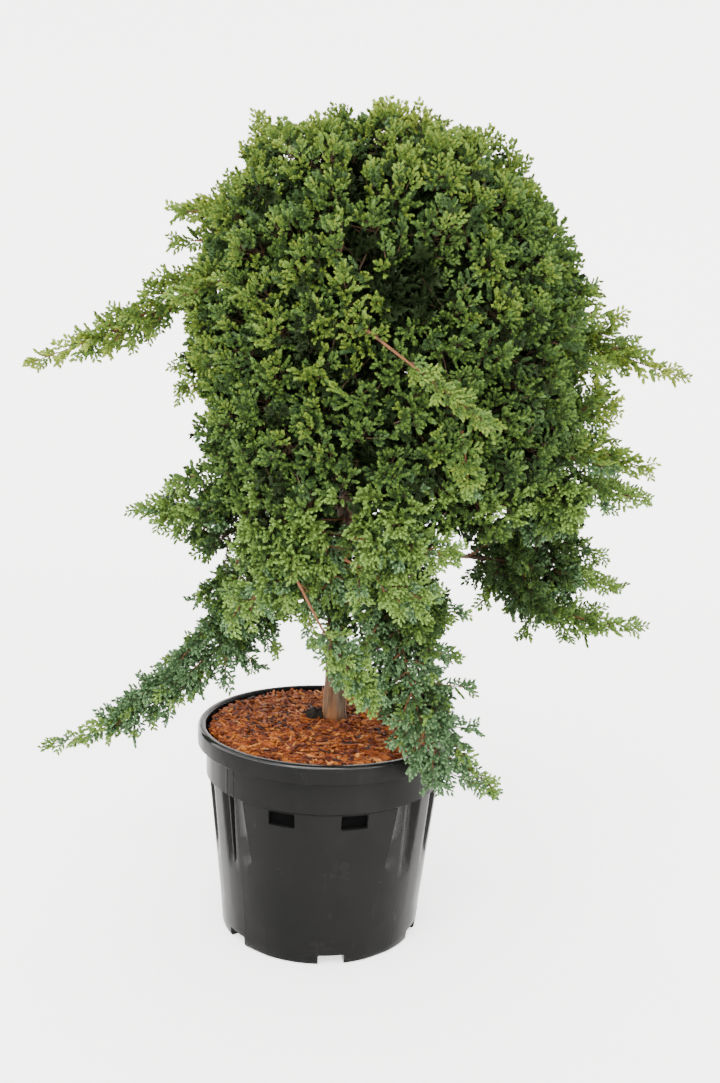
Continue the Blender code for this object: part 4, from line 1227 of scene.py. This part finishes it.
def sinkTips(points, owner):
    # swells, seams between masses, dents and dark hollows, as depths under the skin
    border = np.empty(len(points))
    for name in set(owner):
        rows = owner == name
        border[rows] = borderGap(points[rows], name)
    depth = growth["bump"] * (0.5 - field(points, growth["bumpScale"], 0)) - growth["standOut"]
    depth += growth["fineBump"] * (0.5 - field(points, growth["fineScale"], 5))
    loose = isHanging(owner)
    seam = np.where(loose, growth["hangingSeam"], growth["seam"])
    depth += seam * np.exp(-np.maximum(border, 0) / growth["seamWidth"])
    # drooping shelves: each stands out at its lower edge and overhangs the next one
    warp = growth["shelfWarp"] * field(points, growth["shelfScale"], 2)
    level = points[:, 2] / growth["shelfHeight"] + warp
    depth += np.where(loose, growth["hangingShelf"], 1.0) * growth["shelf"] * (level % 1)
    for place, width, deep in dents:
        depth += deep * fadeShares(points, place, width)
    dark = np.zeros(len(points))
    for place, width, deep in hollows:
        share = fadeShares(points, place, width)
        depth += deep * share
        dark = np.maximum(dark, share)
    return depth, dark


def growLumps():
    # middles of the cushions that the skin is made of, and the root that each one's sprays fan out from
    rule = np.random.default_rng(seed)
    points, normals, owner = allSkins(growth["lumpApart"], rule)
    drop = rule.uniform(0, growth["lumpJitter"], len(points))
    depth = sinkTips(points, owner)[0] + drop
    roots = points - normals * (depth + growth["lumpReach"])[:, None]
    return {"tips": points, "along": normals, "owner": owner, "drop": drop, "roots": roots}


def outerSprays(lumps):
    # sprays that cover each cushion, sunk towards its edge and leaning out from its middle
    rule = np.random.default_rng(seed + 3)
    points, normals, owner = allSkins(growth["apart"], rule)
    depth, dark = sinkTips(points, owner)
    tree = treeOf(lumps["tips"])
    lump = np.array([tree.find(point)[1] for point in points])
    offset = (points - lumps["tips"][lump]) / growth["lumpHalf"]
    share = np.minimum(np.linalg.norm(offset, axis=1), growth["lumpEdge"])
    depth += lumps["drop"][lump] + growth["lumpDrop"] * share ** 2
    lean = normals + offset * growth["lumpLean"]
    lean += rule.uniform(-growth["bend"], growth["bend"], size=lean.shape)
    rise = growth["rise"] * (1 - growth["riseLoss"] * normals[:, 2])
    lean[:, 2] += np.where(isHanging(owner), -growth["droop"], rise)
    found = {"tips": points - normals * depth[:, None], "along": unit(lean), "owner": owner,
             "normal": normals, "depth": depth, "lump": lump,
             "size": rule.uniform(*growth["size"], size=len(points))}
    return {key: value[dark < growth["darkest"]] for key, value in found.items()}


def backSprays():
    # a layer close behind the outer one, its needles painted darker as shade between the sprays
    rule = np.random.default_rng(seed + 4)
    points, normals, owner = allSkins(growth["backApart"], rule)
    depth, dark = sinkTips(points, owner)
    depth += rule.uniform(*growth["backDepth"], size=len(depth))
    lean = unit(normals + rule.uniform(-growth["backBend"], growth["backBend"], size=normals.shape))
    found = {"tips": points - normals * depth[:, None], "along": lean, "owner": owner,
             "size": rule.uniform(*growth["backSize"], size=len(points))}
    return {key: value[dark < growth["backDarkest"]] for key, value in found.items()}


def innerSprays():
    # older, barer sprays in the near-black shade tint, partly the darker colour of old inner needles and
    # partly painted shade: a layer deep under the dome's skin, and some all through each mass
    rule = np.random.default_rng(seed + 1)
    points, normals, owner = allSkins(growth["coreApart"], rule)
    inside = points - normals * rule.uniform(*growth["coreDepth"], size=(len(points), 1))
    lean = unit(normals + rule.uniform(-growth["backBend"], growth["backBend"], size=normals.shape))
    fine = ~isHanging(owner)
    rows = [(inside[fine], lean[fine], owner[fine], np.full(fine.sum(), growth["coreSize"]))]
    bend = growth["innerBend"]
    for name, mass in masses.items():
        count = growth["innerPerMass"] if mass["half"] is None else growth["innerHanging"]
        directions = evenDirections(count, rule)
        limit = cellLimit(mass["seed"], directions, name)
        if mass["half"] is None:
            limit = np.minimum(limit, domeReach(mass["seed"], directions, crown["skinShare"]))
        else:
            limit = np.minimum(limit, skinReach(directions, mass["half"], 2) * crown["skinShare"])
        reach = limit * rule.uniform(*growth["innerDepth"], size=count)
        points = np.array(mass["seed"]) + directions * reach[:, None]
        lean = unit(directions + rule.uniform(-bend, bend, size=directions.shape))
        fine = clearOfPot(points) & (rule.random(count) < airy.get(name, 1.0) ** 2)
        for place, width, _ in hollows:
            fine &= np.linalg.norm(points - np.array(place), axis=1) > width + growth["innerClear"]
        rows.append((points[fine], lean[fine], np.full(fine.sum(), name), np.full(fine.sum(), 1.0)))
    tips, along, owner, size = (np.concatenate(parts) for parts in zip(*rows))
    size = size * rule.uniform(*growth["innerSize"], len(tips))
    return {"tips": tips, "along": along, "owner": owner, "size": size}


# Dresses: what each spray wears; its height, which way it faces, where it stands and how far it is sunk make
# it lighter or darker, as painted light and shade

skinDress = {
    "low": 0.56, "rise": 0.42, "upward": 0.35, "patch": 0.55, "patchScale": 14.0, "sunk": 16, "spread": 0.20,
    "base": 0.20, "front": -0.10, "frontLight": 1.05, "left": 0.05, "leftTop": 0.78, "leftLight": 0.50,
    "blueShare": 0.45, "blueFrom": 0.55, "blueDrop": 0.2, "bluePatch": 0.9, "blueScale": 9.0,
    "blueSpread": 0.18, "blueFront": 0.5, "duskShare": 0.45,
    "sunny": 0.55, "bright": 1.35, "dull": -0.35, "blue": 0.38, "blueLight": 0.9,
}
shootDress = {
    "low": 0.56, "glow": 1.6, "middle": 0.5, "rise": 0.9, "spread": 0.22, "blueFrom": 0.50,
    "blueSpread": 0.10, "sunny": 0.75, "bright": 1.45, "dull": 0.10, "blue": 0.06, "blueLight": 0.95,
}
# share of the back layer in the dusk dress, the rest dull: painted shade
backDusk = 0.5


def dressBy(steps, light, blue, z):
    # olive and bright where more light is painted, fern green low down, dull where shade is painted, and
    # blue-green in patches
    dress = np.full(len(light), "plain", dtype=object)
    dress[light > steps["sunny"]] = "sunny"
    dress[light > steps["bright"]] = "bright"
    dress[(light > steps["sunny"]) & (z < steps["low"])] = "fern"
    dress[light < steps["dull"]] = "dull"
    dress[(blue > steps["blue"]) & (light < steps["blueLight"])] = "glaucous"
    return dress


def chooseDress(rows, rule):
    steps = skinDress
    x, y, z = rows["tips"].T
    patch = field(rows["tips"], steps["patchScale"], 9)
    up = rows["normal"][:, 2]
    # painted light and shade: a spray is made lighter higher up and where it faces up, darker the further it
    # is sunk, and lighter again in the low front and on the low left
    light = (z - steps["low"]) / steps["rise"] + steps["upward"] * up + steps["patch"] * patch
    light = light - steps["sunk"] * rows["depth"] + rule.normal(0, steps["spread"], len(z)) + steps["base"]
    front = (y < steps["front"]) & (z < steps["low"])
    light[front] += steps["frontLight"]
    light[(x < steps["left"]) & (z < steps["leftTop"]) & ~front] += steps["leftLight"]
    blue = steps["blueShare"] * (steps["blueFrom"] - z) / steps["blueDrop"]
    blue = blue + steps["bluePatch"] * field(rows["tips"], steps["blueScale"], 4)
    blue = blue + rule.normal(0, steps["blueSpread"], len(z)) - steps["blueFront"] * front
    dress = dressBy(steps, light, blue, z)
    # painted shade: nearly half of the hanging mass on the right wears the dusk dress
    dress[(rows["owner"] == "right_hanging") & (rule.random(len(z)) < steps["duskShare"])] = "dusk"
    return dress


def armDress(rows, rule):
    steps = shootDress
    z = rows["tips"][:, 2]
    # painted light: a shoot's glow and its height make its sprays lighter
    light = rows["bright"] * steps["glow"] + (z - steps["middle"]) * steps["rise"]
    light = light + rule.normal(0, steps["spread"], len(z))
    blue = steps["blueFrom"] - z + rule.normal(0, steps["blueSpread"], len(z))
    blue[rows["owner"] == "right_hanging"] = -1
    return dressBy(steps, light, blue, z)


# Long shoots: the CAD arms, fans of shoots on both sides of a limb, and lone sprigs

shoot = {
    "spacing": 0.0050, "sideSpacing": 0.0074, "sideWidth": 0.019, "sideLean": 48, "limbRadius": 0.0016,
    "limbTip": 0.0005, "sideRadius": 0.0009, "sprayLean": 40, "sprayWidth": 0.014, "leastSize": 0.84,
    "mainLean": 30, "fanTip": 0.008, "fanBow": 0.08, "step": 0.006,
    "turn": 137.5, "turnSpread": 0.3, "leanSpread": 10, "glowFoot": 0.45, "glowRise": 0.55,
    "sideRise": (-0.15, 0.20), "sideReach": (0.85, 1.2), "sideAhead": 0.25,
    "sideHalf": 0.014, "sideBare": 0.10, "mostSize": 1.1, "sizes": (0.9, 1.1), "sprayOut": 0.95,
    "limbEnd": 0.4, "armFrom": 0.6, "sprigFrom": 0.8, "sprigGlow": 0.6, "fanFrom": 0.5,
}
fan = {
    "half": 0.013, "end": 0.96, "up": 0.4, "lean": (1.15, 0.4), "leanSpread": 8, "depth": 0.25,
    "lengths": (0.75, 1.15), "taper": (1.1, 0.5), "bare": 0.12,
}
armWidth = {"lower_skirt": 0.5, "low_left": 0.85}
armSag = {"shoulder_1": 0.002, "shoulder_4": 0.004, "low_left": 0.006, "lower_skirt": 0.014}
# owner, places along the limb, its bare share, shoots on each side, their length, half width, lean and glow,
# the light painted into their needles' colour
fans = (
    ("lower_skirt",
     ((0.061, -0.115, 0.466), (0.081, -0.120, 0.385), (0.106, -0.132, 0.299), (0.137, -0.138, 0.248)),
     0.0, 10, 0.056, 0.016, 62, 0.25),
    ("lower_skirt", ((0.030, -0.090, 0.455), (0.036, -0.095, 0.394), (0.058, -0.100, 0.328)),
     0.0, 9, 0.048, 0.018, 55, 0.1),
    ("lower_skirt", ((0.096, -0.060, 0.440), (0.110, -0.065, 0.300)), 0.0, 4, 0.046, 0.016, 60, 0.1),
    ("front_curtain", ((0.018, -0.165, 0.479), (0.066, -0.172, 0.459), (0.105, -0.170, 0.438)),
     0.1, 4, 0.032, 0.014, 50, 0.75),
    ("front_curtain", ((0.023, -0.175, 0.504), (0.084, -0.182, 0.499), (0.128, -0.178, 0.489)),
     0.2, 5, 0.026, 0.014, 45, 0.8),
    ("front_left_curtain", ((-0.026, -0.160, 0.465), (-0.063, -0.165, 0.444), (-0.096, -0.160, 0.420)),
     0.0, 4, 0.030, 0.014, 50, 0.75),
    ("front_curtain", ((-0.008, -0.140, 0.516), (0.000, -0.145, 0.474), (0.006, -0.145, 0.437)),
     0.0, 5, 0.048, 0.015, 55, 0.45),
    ("front_curtain", ((0.010, -0.100, 0.500), (0.030, -0.110, 0.425)), 0.0, 6, 0.055, 0.018, 60, 0.1),
    ("front_spray",
     ((-0.029, -0.176, 0.456), (-0.003, -0.172, 0.407), (0.028, -0.158, 0.362), (0.053, -0.158, 0.329)),
     0.36, 6, 0.022, 0.011, 46, 0.9),
    ("low_left",
     ((-0.110, -0.010, 0.447), (-0.128, -0.010, 0.392), (-0.177, -0.010, 0.316), (-0.249, -0.010, 0.255)),
     0.0, 9, 0.036, 0.014, 58, 0.3),
    ("low_left", ((-0.118, -0.012, 0.420), (-0.106, -0.015, 0.345)), 0.0, 5, 0.042, 0.017, 62, 0.2),
    ("right_hanging", ((0.224, 0.020, 0.503), (0.219, 0.025, 0.435), (0.257, 0.030, 0.398)),
     0.0, 7, 0.072, 0.019, 65, 0.0),
    ("right_hanging", ((0.262, 0.050, 0.510), (0.270, 0.060, 0.420)), 0.0, 4, 0.060, 0.018, 60, 0.0),
    ("shoulder_2",
     ((0.033, -0.216, 0.709), (0.059, -0.232, 0.690), (0.103, -0.232, 0.659), (0.156, -0.220, 0.622)),
     0.34, 4, 0.011, 0.006, 40, 0.48),
    ("front_curtain", ((0.128, -0.208, 0.618), (0.139, -0.206, 0.560)), 0.1, 3, 0.016, 0.009, 40, 0.65),
)
# owner, start, tip, half width
sprigs = (
    ("crest_3", (-0.083, -0.060, 0.886), (-0.094, -0.045, 0.937), 0.013),
    ("shoulder_1", (-0.134, -0.080, 0.834), (-0.174, -0.085, 0.830), 0.016),
    ("shoulder_1", (-0.145, -0.020, 0.811), (-0.192, -0.010, 0.808), 0.018),
    ("shoulder_1", (-0.136, -0.060, 0.783), (-0.190, -0.060, 0.756), 0.018),
    ("shoulder_1", (-0.122, -0.100, 0.761), (-0.170, -0.105, 0.740), 0.016),
    ("shoulder_1", (-0.137, -0.040, 0.689), (-0.180, -0.030, 0.670), 0.015),
    ("shoulder_1", (-0.128, -0.080, 0.662), (-0.168, -0.085, 0.642), 0.015),
    ("shoulder_5", (0.241, -0.020, 0.770), (0.286, -0.015, 0.775), 0.016),
    ("shoulder_5", (0.238, -0.080, 0.747), (0.300, -0.085, 0.738), 0.018),
    ("shoulder_5", (0.265, 0.000, 0.734), (0.328, 0.010, 0.717), 0.015),
    ("shoulder_5", (0.243, -0.100, 0.700), (0.283, -0.110, 0.685), 0.018),
    ("flank_3", (0.248, -0.050, 0.682), (0.292, -0.050, 0.679), 0.015),
    ("flank_3", (0.247, -0.090, 0.590), (0.302, -0.100, 0.579), 0.018),
    ("flank_3", (0.277, -0.030, 0.561), (0.341, -0.020, 0.546), 0.016),
    ("lower_skirt", (0.096, -0.134, 0.275), (0.133, -0.138, 0.225), 0.018),
    ("lower_skirt", (0.119, -0.138, 0.251), (0.185, -0.130, 0.222), 0.018),
    ("lower_skirt", (0.106, -0.130, 0.293), (0.166, -0.128, 0.291), 0.016),
    ("lower_skirt", (0.088, -0.125, 0.342), (0.160, -0.120, 0.334), 0.015),
    ("lower_skirt", (0.080, -0.100, 0.414), (0.148, -0.100, 0.414), 0.016),
    ("lower_skirt", (0.077, -0.080, 0.369), (0.146, -0.070, 0.357), 0.016),
    ("right_hanging", (0.210, 0.030, 0.452), (0.188, 0.030, 0.402), 0.018),
    ("right_hanging", (0.233, 0.045, 0.425), (0.221, 0.050, 0.383), 0.018),
    ("right_hanging", (0.260, 0.020, 0.419), (0.255, 0.015, 0.390), 0.018),
    ("right_hanging", (0.269, 0.030, 0.485), (0.326, 0.030, 0.462), 0.018),
    ("right_hanging", (0.269, 0.050, 0.445), (0.353, 0.055, 0.418), 0.017),
    ("front_left_curtain", (-0.018, -0.150, 0.475), (-0.023, -0.152, 0.413), 0.016),
    ("front_spray", (-0.026, -0.150, 0.448), (-0.011, -0.152, 0.384), 0.016),
    ("left_curtain", (-0.159, -0.030, 0.544), (-0.210, -0.030, 0.507), 0.018),
    ("left_curtain", (-0.143, -0.060, 0.556), (-0.179, -0.065, 0.537), 0.016),
    ("low_left", (-0.100, -0.015, 0.388), (-0.061, -0.020, 0.342), 0.018),
    ("low_left", (-0.120, -0.012, 0.362), (-0.083, -0.018, 0.318), 0.018),
    ("low_left", (-0.109, -0.012, 0.429), (-0.159, -0.010, 0.397), 0.016),
)


def alongPath(places, distance):
    # place, direction and share of the whole length at a distance along a path
    share = distance / pathLength(places)
    for first, second in zip(places, places[1:]):
        length = (second - first).length
        if distance <= length or second is places[-1]:
            return first.lerp(second, min(1.0, distance / length)), (second - first).normalized(), share
        distance -= length


def sideShoot(grown, owner, rule, place, along, side, half, bright):
    # one shoot out of a wide one, as long as the plume is wide there
    spread = shoot["leanSpread"]
    lean = math.radians(shoot["sideLean"] + rule.uniform(-spread, spread))
    out = along * math.cos(lean) + side * math.sin(lean) + Vector((0, 0, rule.uniform(*shoot["sideRise"])))
    length = half * rule.uniform(*shoot["sideReach"])
    end = place + out.normalized() * length + along * length * shoot["sideAhead"]
    growShoot(grown, owner, rule, [place, end], shoot["sideHalf"], bright, shoot["sideRadius"],
              shoot["sideBare"])


def growShoot(grown, owner, rule, places, width, glow, thick, begin=0.0):
    # sprays all round one path, from half width to a narrow tip; a wide one first grows side shoots
    total = pathLength(places)
    turn = rule.uniform(0, math.tau)
    turnSpread, leanSpread = shoot["turnSpread"], shoot["leanSpread"]
    distance, count = begin * total, max(2, int(total / shoot["step"]))
    steps = [alongPath(places, total * i / count)[0] for i in range(count + 1)]
    while distance < total:
        place, along, share = alongPath(places, distance)
        half = width + (shoot["fanTip"] - width) * share
        side = along.orthogonal().normalized()
        turn += math.radians(shoot["turn"]) + rule.uniform(-turnSpread, turnSpread)
        side.rotate(Matrix.Rotation(turn, 3, along))
        # painted light: this spray's share of the shoot's glow, more towards the tip
        bright = glow * (shoot["glowFoot"] + shoot["glowRise"] * share)
        if half > shoot["sideWidth"]:
            sideShoot(grown, owner, rule, place, along, side, half, bright)
            lean, side, gap = math.radians(shoot["mainLean"]), -side, shoot["sideSpacing"]
        else:
            lean = math.radians(shoot["sprayLean"] + rule.uniform(-leanSpread, leanSpread))
            gap = shoot["spacing"]
        out = (along * math.cos(lean) + side * math.sin(lean)).normalized()
        fitted = max(shoot["leastSize"], min(shoot["mostSize"], half / shoot["sprayWidth"]))
        size = fitted * rule.uniform(*shoot["sizes"])
        tip = place + out * plumeSpray["length"] * size * shoot["sprayOut"]
        grown["rows"].append((tip, out, owner, size, bright))
        distance += gap
    along = (places[-1] - places[-2]).normalized()
    grown["rows"].append((places[-1], along, owner, shoot["leastSize"], glow))
    steps[-1] = steps[-2].lerp(places[-1], shoot["limbEnd"])
    grown["tubes"].append((steps, thick))


def growFan(grown, owner, rule, limb, bare, count, length, width, lean, glow):
    # a limb with shoots to both sides of it, square to the line from the stem
    limb = [Vector(place) for place in limb]
    total = pathLength(limb)
    growShoot(grown, owner, rule, limb, fan["half"], glow, shoot["limbRadius"], bare)
    stemFoot = Vector(stem["rows"][3][:2] + (0,))
    for i in range(2 * count):
        share = bare + (fan["end"] - bare) * (i + 0.5) / (2 * count)
        place, along, _ = alongPath(limb, share * total)
        outward = place - stemFoot
        outward.z = 0
        outward.normalize()
        side = along.cross(outward + Vector((0, 0, fan["up"]))).normalized() * (-1) ** i
        opened = lean * (fan["lean"][0] - fan["lean"][1] * share)
        turn = math.radians(opened + rule.uniform(-fan["leanSpread"], fan["leanSpread"]))
        depth = rule.uniform(-fan["depth"], fan["depth"])
        out = along * math.cos(turn) + side * math.sin(turn) + outward * depth
        reach = length * rule.uniform(*fan["lengths"]) * (fan["taper"][0] - fan["taper"][1] * share)
        tip = place + out.normalized() * reach
        middle = place.lerp(tip, 0.5) + Vector((0, 0, shoot["fanBow"] * reach))
        growShoot(grown, owner, rule, [place, middle, tip], width, glow, shoot["sideRadius"], fan["bare"])


def growArms(grown):
    for name, mass in masses.items():
        for i, (places, half) in enumerate(mass["arms"]):
            rule = random.Random(f"{seed} arm {name} {i}")
            last = len(places) - 1
            drop = armSag.get(name, 0.0)
            sagged = [mass["seed"].lerp(places[0], shoot["armFrom"])]
            for k, place in enumerate(places):
                sagged.append(place - Vector((0, 0, 4 * drop * k / last * (1 - k / last))))
            growShoot(grown, name, rule, sagged, half * armWidth.get(name, 1.0), 1.0, shoot["limbRadius"])


def longShoots():
    # rows of sprays, as arrays by name, and the places and foot radius of each limb
    grown = {"rows": [], "tubes": []}
    growArms(grown)
    for i, (owner, start, tip, width) in enumerate(sprigs):
        rule = random.Random(f"{seed} sprig {i}")
        start, tip = Vector(start), Vector(tip)
        places = [masses[owner]["seed"].lerp(start, shoot["sprigFrom"]), start, tip]
        growShoot(grown, owner, rule, places, width, shoot["sprigGlow"], shoot["sideRadius"])
    for i, (owner, limb, *rest) in enumerate(fans):
        rule = random.Random(f"{seed} fan {i}")
        growFan(grown, owner, rule, limb, *rest)
        foot, start = masses[owner]["foot"], Vector(limb[0])
        grown["tubes"].append(([foot, foot.lerp(start, shoot["fanFrom"]), start], shoot["limbRadius"]))
    names = ("tips", "along", "owner", "size", "bright")
    return {key: np.array([row[k] for row in grown["rows"]]) for k, key in enumerate(names)}, grown["tubes"]


def needleMaterial(tint):
    specular = needleLook["shadeSpecular" if tint == "shade" else "specular"]
    skin = Shader("needles_" + tint, needleLook["roughness"], specular)
    skin.paint(needleTints[tint])
    return skin.made


def plantNeedles(outer, back, inner, armRows):
    rule = np.random.default_rng(seed + 2)
    dealt = {tint: [] for tint in needleTints}
    dressed = [
        (outer, chooseDress(outer, rule), outerForms, spray),
        (armRows, armDress(armRows, rule), plumeForms, plumeSpray),
        (back, np.where(rule.random(len(back["tips"])) < backDusk, "dusk", "dull"), plumeForms, plumeSpray),
        (inner, np.full(len(inner["tips"]), "inner", dtype=object), innerForms, innerSpray),
    ]
    for rows, dress, forms, form in dressed:
        roots = rows["tips"] - rows["along"] * form["length"] * rows["size"][:, None]
        rows["roots"] = roots
        moves = axisMoves(roots, rows["along"], rule.uniform(0, math.tau, len(roots)), rows["size"])
        kind = rule.integers(0, len(forms), len(roots))
        for name, tints in dresses.items():
            for k, sets in enumerate(forms):
                chosen = moves[(dress == name) & (kind == k)]
                if len(chosen):
                    for tint, (points, faces) in zip(tints, sets):
                        dealt[tint].append((points, faces, chosen))
    total = 0
    for tint, groups in dealt.items():
        total += joinCopies("needles_" + tint, groups, needleMaterial(tint), "needles", *masses)
    counts = [len(rows["tips"]) for rows, *_ in dressed]
    print("needles:", total, "triangles on", counts, "outer, long shoot, back and inner sprays")


lumps = growLumps()
outer = outerSprays(lumps)
back = backSprays()
inner = innerSprays()
armRows, armTubes = longShoots()
plantNeedles(outer, back, inner, armRows)


# Twigs: each mass's own stem and leaders, then a fine twig to each spray

twig = {
    "stemRadius": 0.0022, "stemTaper": 0.05, "stemSteps": 6, "leaderRadius": 0.0016, "leaderTip": 0.0008,
    "leaders": 7, "leaderSteps": 7, "leaderFrom": 0.75, "sag": 0.10, "sides": 6,
    "fineRadius": 0.00060, "fineTip": 0.55, "linkSwell": 1.4, "axisShare": 0.85, "reachBack": 0.010,
    "look": {"roughness": 0.75, "specular": 0.3, "grain": (110, 4), "relief": (600, 3),
             "bump": (0.5, 0.0004)},
}
oldBark = ((0.35, (0.016, 0.009, 0.004)), (0.68, (0.060, 0.030, 0.012)))
youngBark = ((0.35, (0.040, 0.017, 0.007)), (0.68, (0.125, 0.045, 0.013)))


def leaderPath(start, end, along, steps):
    middle = start.lerp(end, 0.5) + along * (end - start).length * twig["sag"]
    places = []
    for i in range(steps):
        t = i / (steps - 1)
        places.append(start * (1 - t) ** 2 + middle * 2 * t * (1 - t) + end * t * t)
    return places


def spreadPicks(points, count):
    # far apart from each other, the first one furthest from the middle
    picked = [int(np.linalg.norm(points - points.mean(axis=0), axis=1).argmax())]
    apart = np.linalg.norm(points - points[picked[0]], axis=1)
    while len(picked) < min(count, len(points)):
        picked.append(int(apart.argmax()))
        apart = np.minimum(apart, np.linalg.norm(points - points[picked[-1]], axis=1))
    return picked


def prismTemplate():
    bm = bmesh.new()
    bmesh.ops.create_cone(bm, cap_ends=True, segments=3, radius1=1, radius2=twig["fineTip"], depth=1)
    bmesh.ops.translate(bm, vec=(0, 0, 0.5), verts=bm.verts)
    bmesh.ops.rotate(bm, matrix=Matrix.Rotation(math.pi / 2, 3, "Y"), verts=bm.verts)
    bmesh.ops.triangulate(bm, faces=bm.faces)
    return templateArrays(bm)


def fineMoves(starts, ends, radius):
    # placements that stretch the prism from each start to its end
    run = ends - starts
    moves = axisMoves(starts, run, np.zeros(len(starts)), np.ones(len(starts)))
    moves[:, :, 0] *= np.linalg.norm(run, axis=1)[:, None]
    moves[:, :, 1:3] *= radius
    return moves


def makeLeaders():
    # returns the places on the leaders of each mass, where fine twigs may start
    bm = bmesh.new()
    nodes = {}
    for name, mass in masses.items():
        steps = twig["stemSteps"]
        nodes[name] = leaderPath(mass["foot"], mass["seed"], Vector(), steps)
        radii = [twig["stemRadius"] * (1 - twig["stemTaper"] * i) for i in range(steps)]
        addTube(bm, nodes[name], radii, twig["sides"])
        roots = lumps["roots"][lumps["owner"] == name]
        if len(roots) < 2:
            continue
        start = mass["foot"].lerp(mass["seed"], twig["leaderFrom"])
        for k in spreadPicks(roots, twig["leaders"]):
            path = leaderPath(start, Vector(roots[k]), mass["along"], twig["leaderSteps"])
            addTube(bm, path, taperRadii(twig["leaderRadius"], twig["leaderTip"], len(path)), twig["sides"])
            nodes[name] += path
    linkLimbs(bm, "twigs_leaders", brownSkin, *masses)
    return nodes


def makeLimbs():
    bm = bmesh.new()
    for steps, thick in armTubes:
        addTube(bm, steps, taperRadii(thick, shoot["limbTip"], len(steps)), twig["sides"])
    orange = grainMaterial("young_bark", twig["look"] | {"stops": youngBark})
    linkLimbs(bm, "twigs_arms", orange, *masses)


def makeFineTwigs(nodes):
    starts, ends = [], []
    for rows in (lumps, back, inner):
        for name in masses:
            mine = rows["owner"] == name
            tree = treeOf(nodes[name])
            for point, lean in zip(rows["roots"][mine], rows["along"][mine]):
                starts.append(tree.find(Vector(point - lean * twig["reachBack"]))[0])
                ends.append(point)
    axes = [(rows["roots"], rows["tips"]) for rows in (inner, back, armRows, outer)]
    axes.append((lumps["roots"][outer["lump"]], outer["roots"]))
    moves = [fineMoves(np.array(starts), np.array(ends), twig["fineRadius"] * twig["linkSwell"])]
    for first, second in axes:
        moves.append(fineMoves(first, first + (second - first) * twig["axisShare"], twig["fineRadius"]))
    joinCopies("twigs_fine", [(*prismTemplate(), np.concatenate(moves))], brownSkin, "bark")


brownSkin = grainMaterial("twig_bark", twig["look"] | {"stops": oldBark})
nodes = makeLeaders()
makeLimbs()
makeFineTwigs(nodes)
print("twigs made")
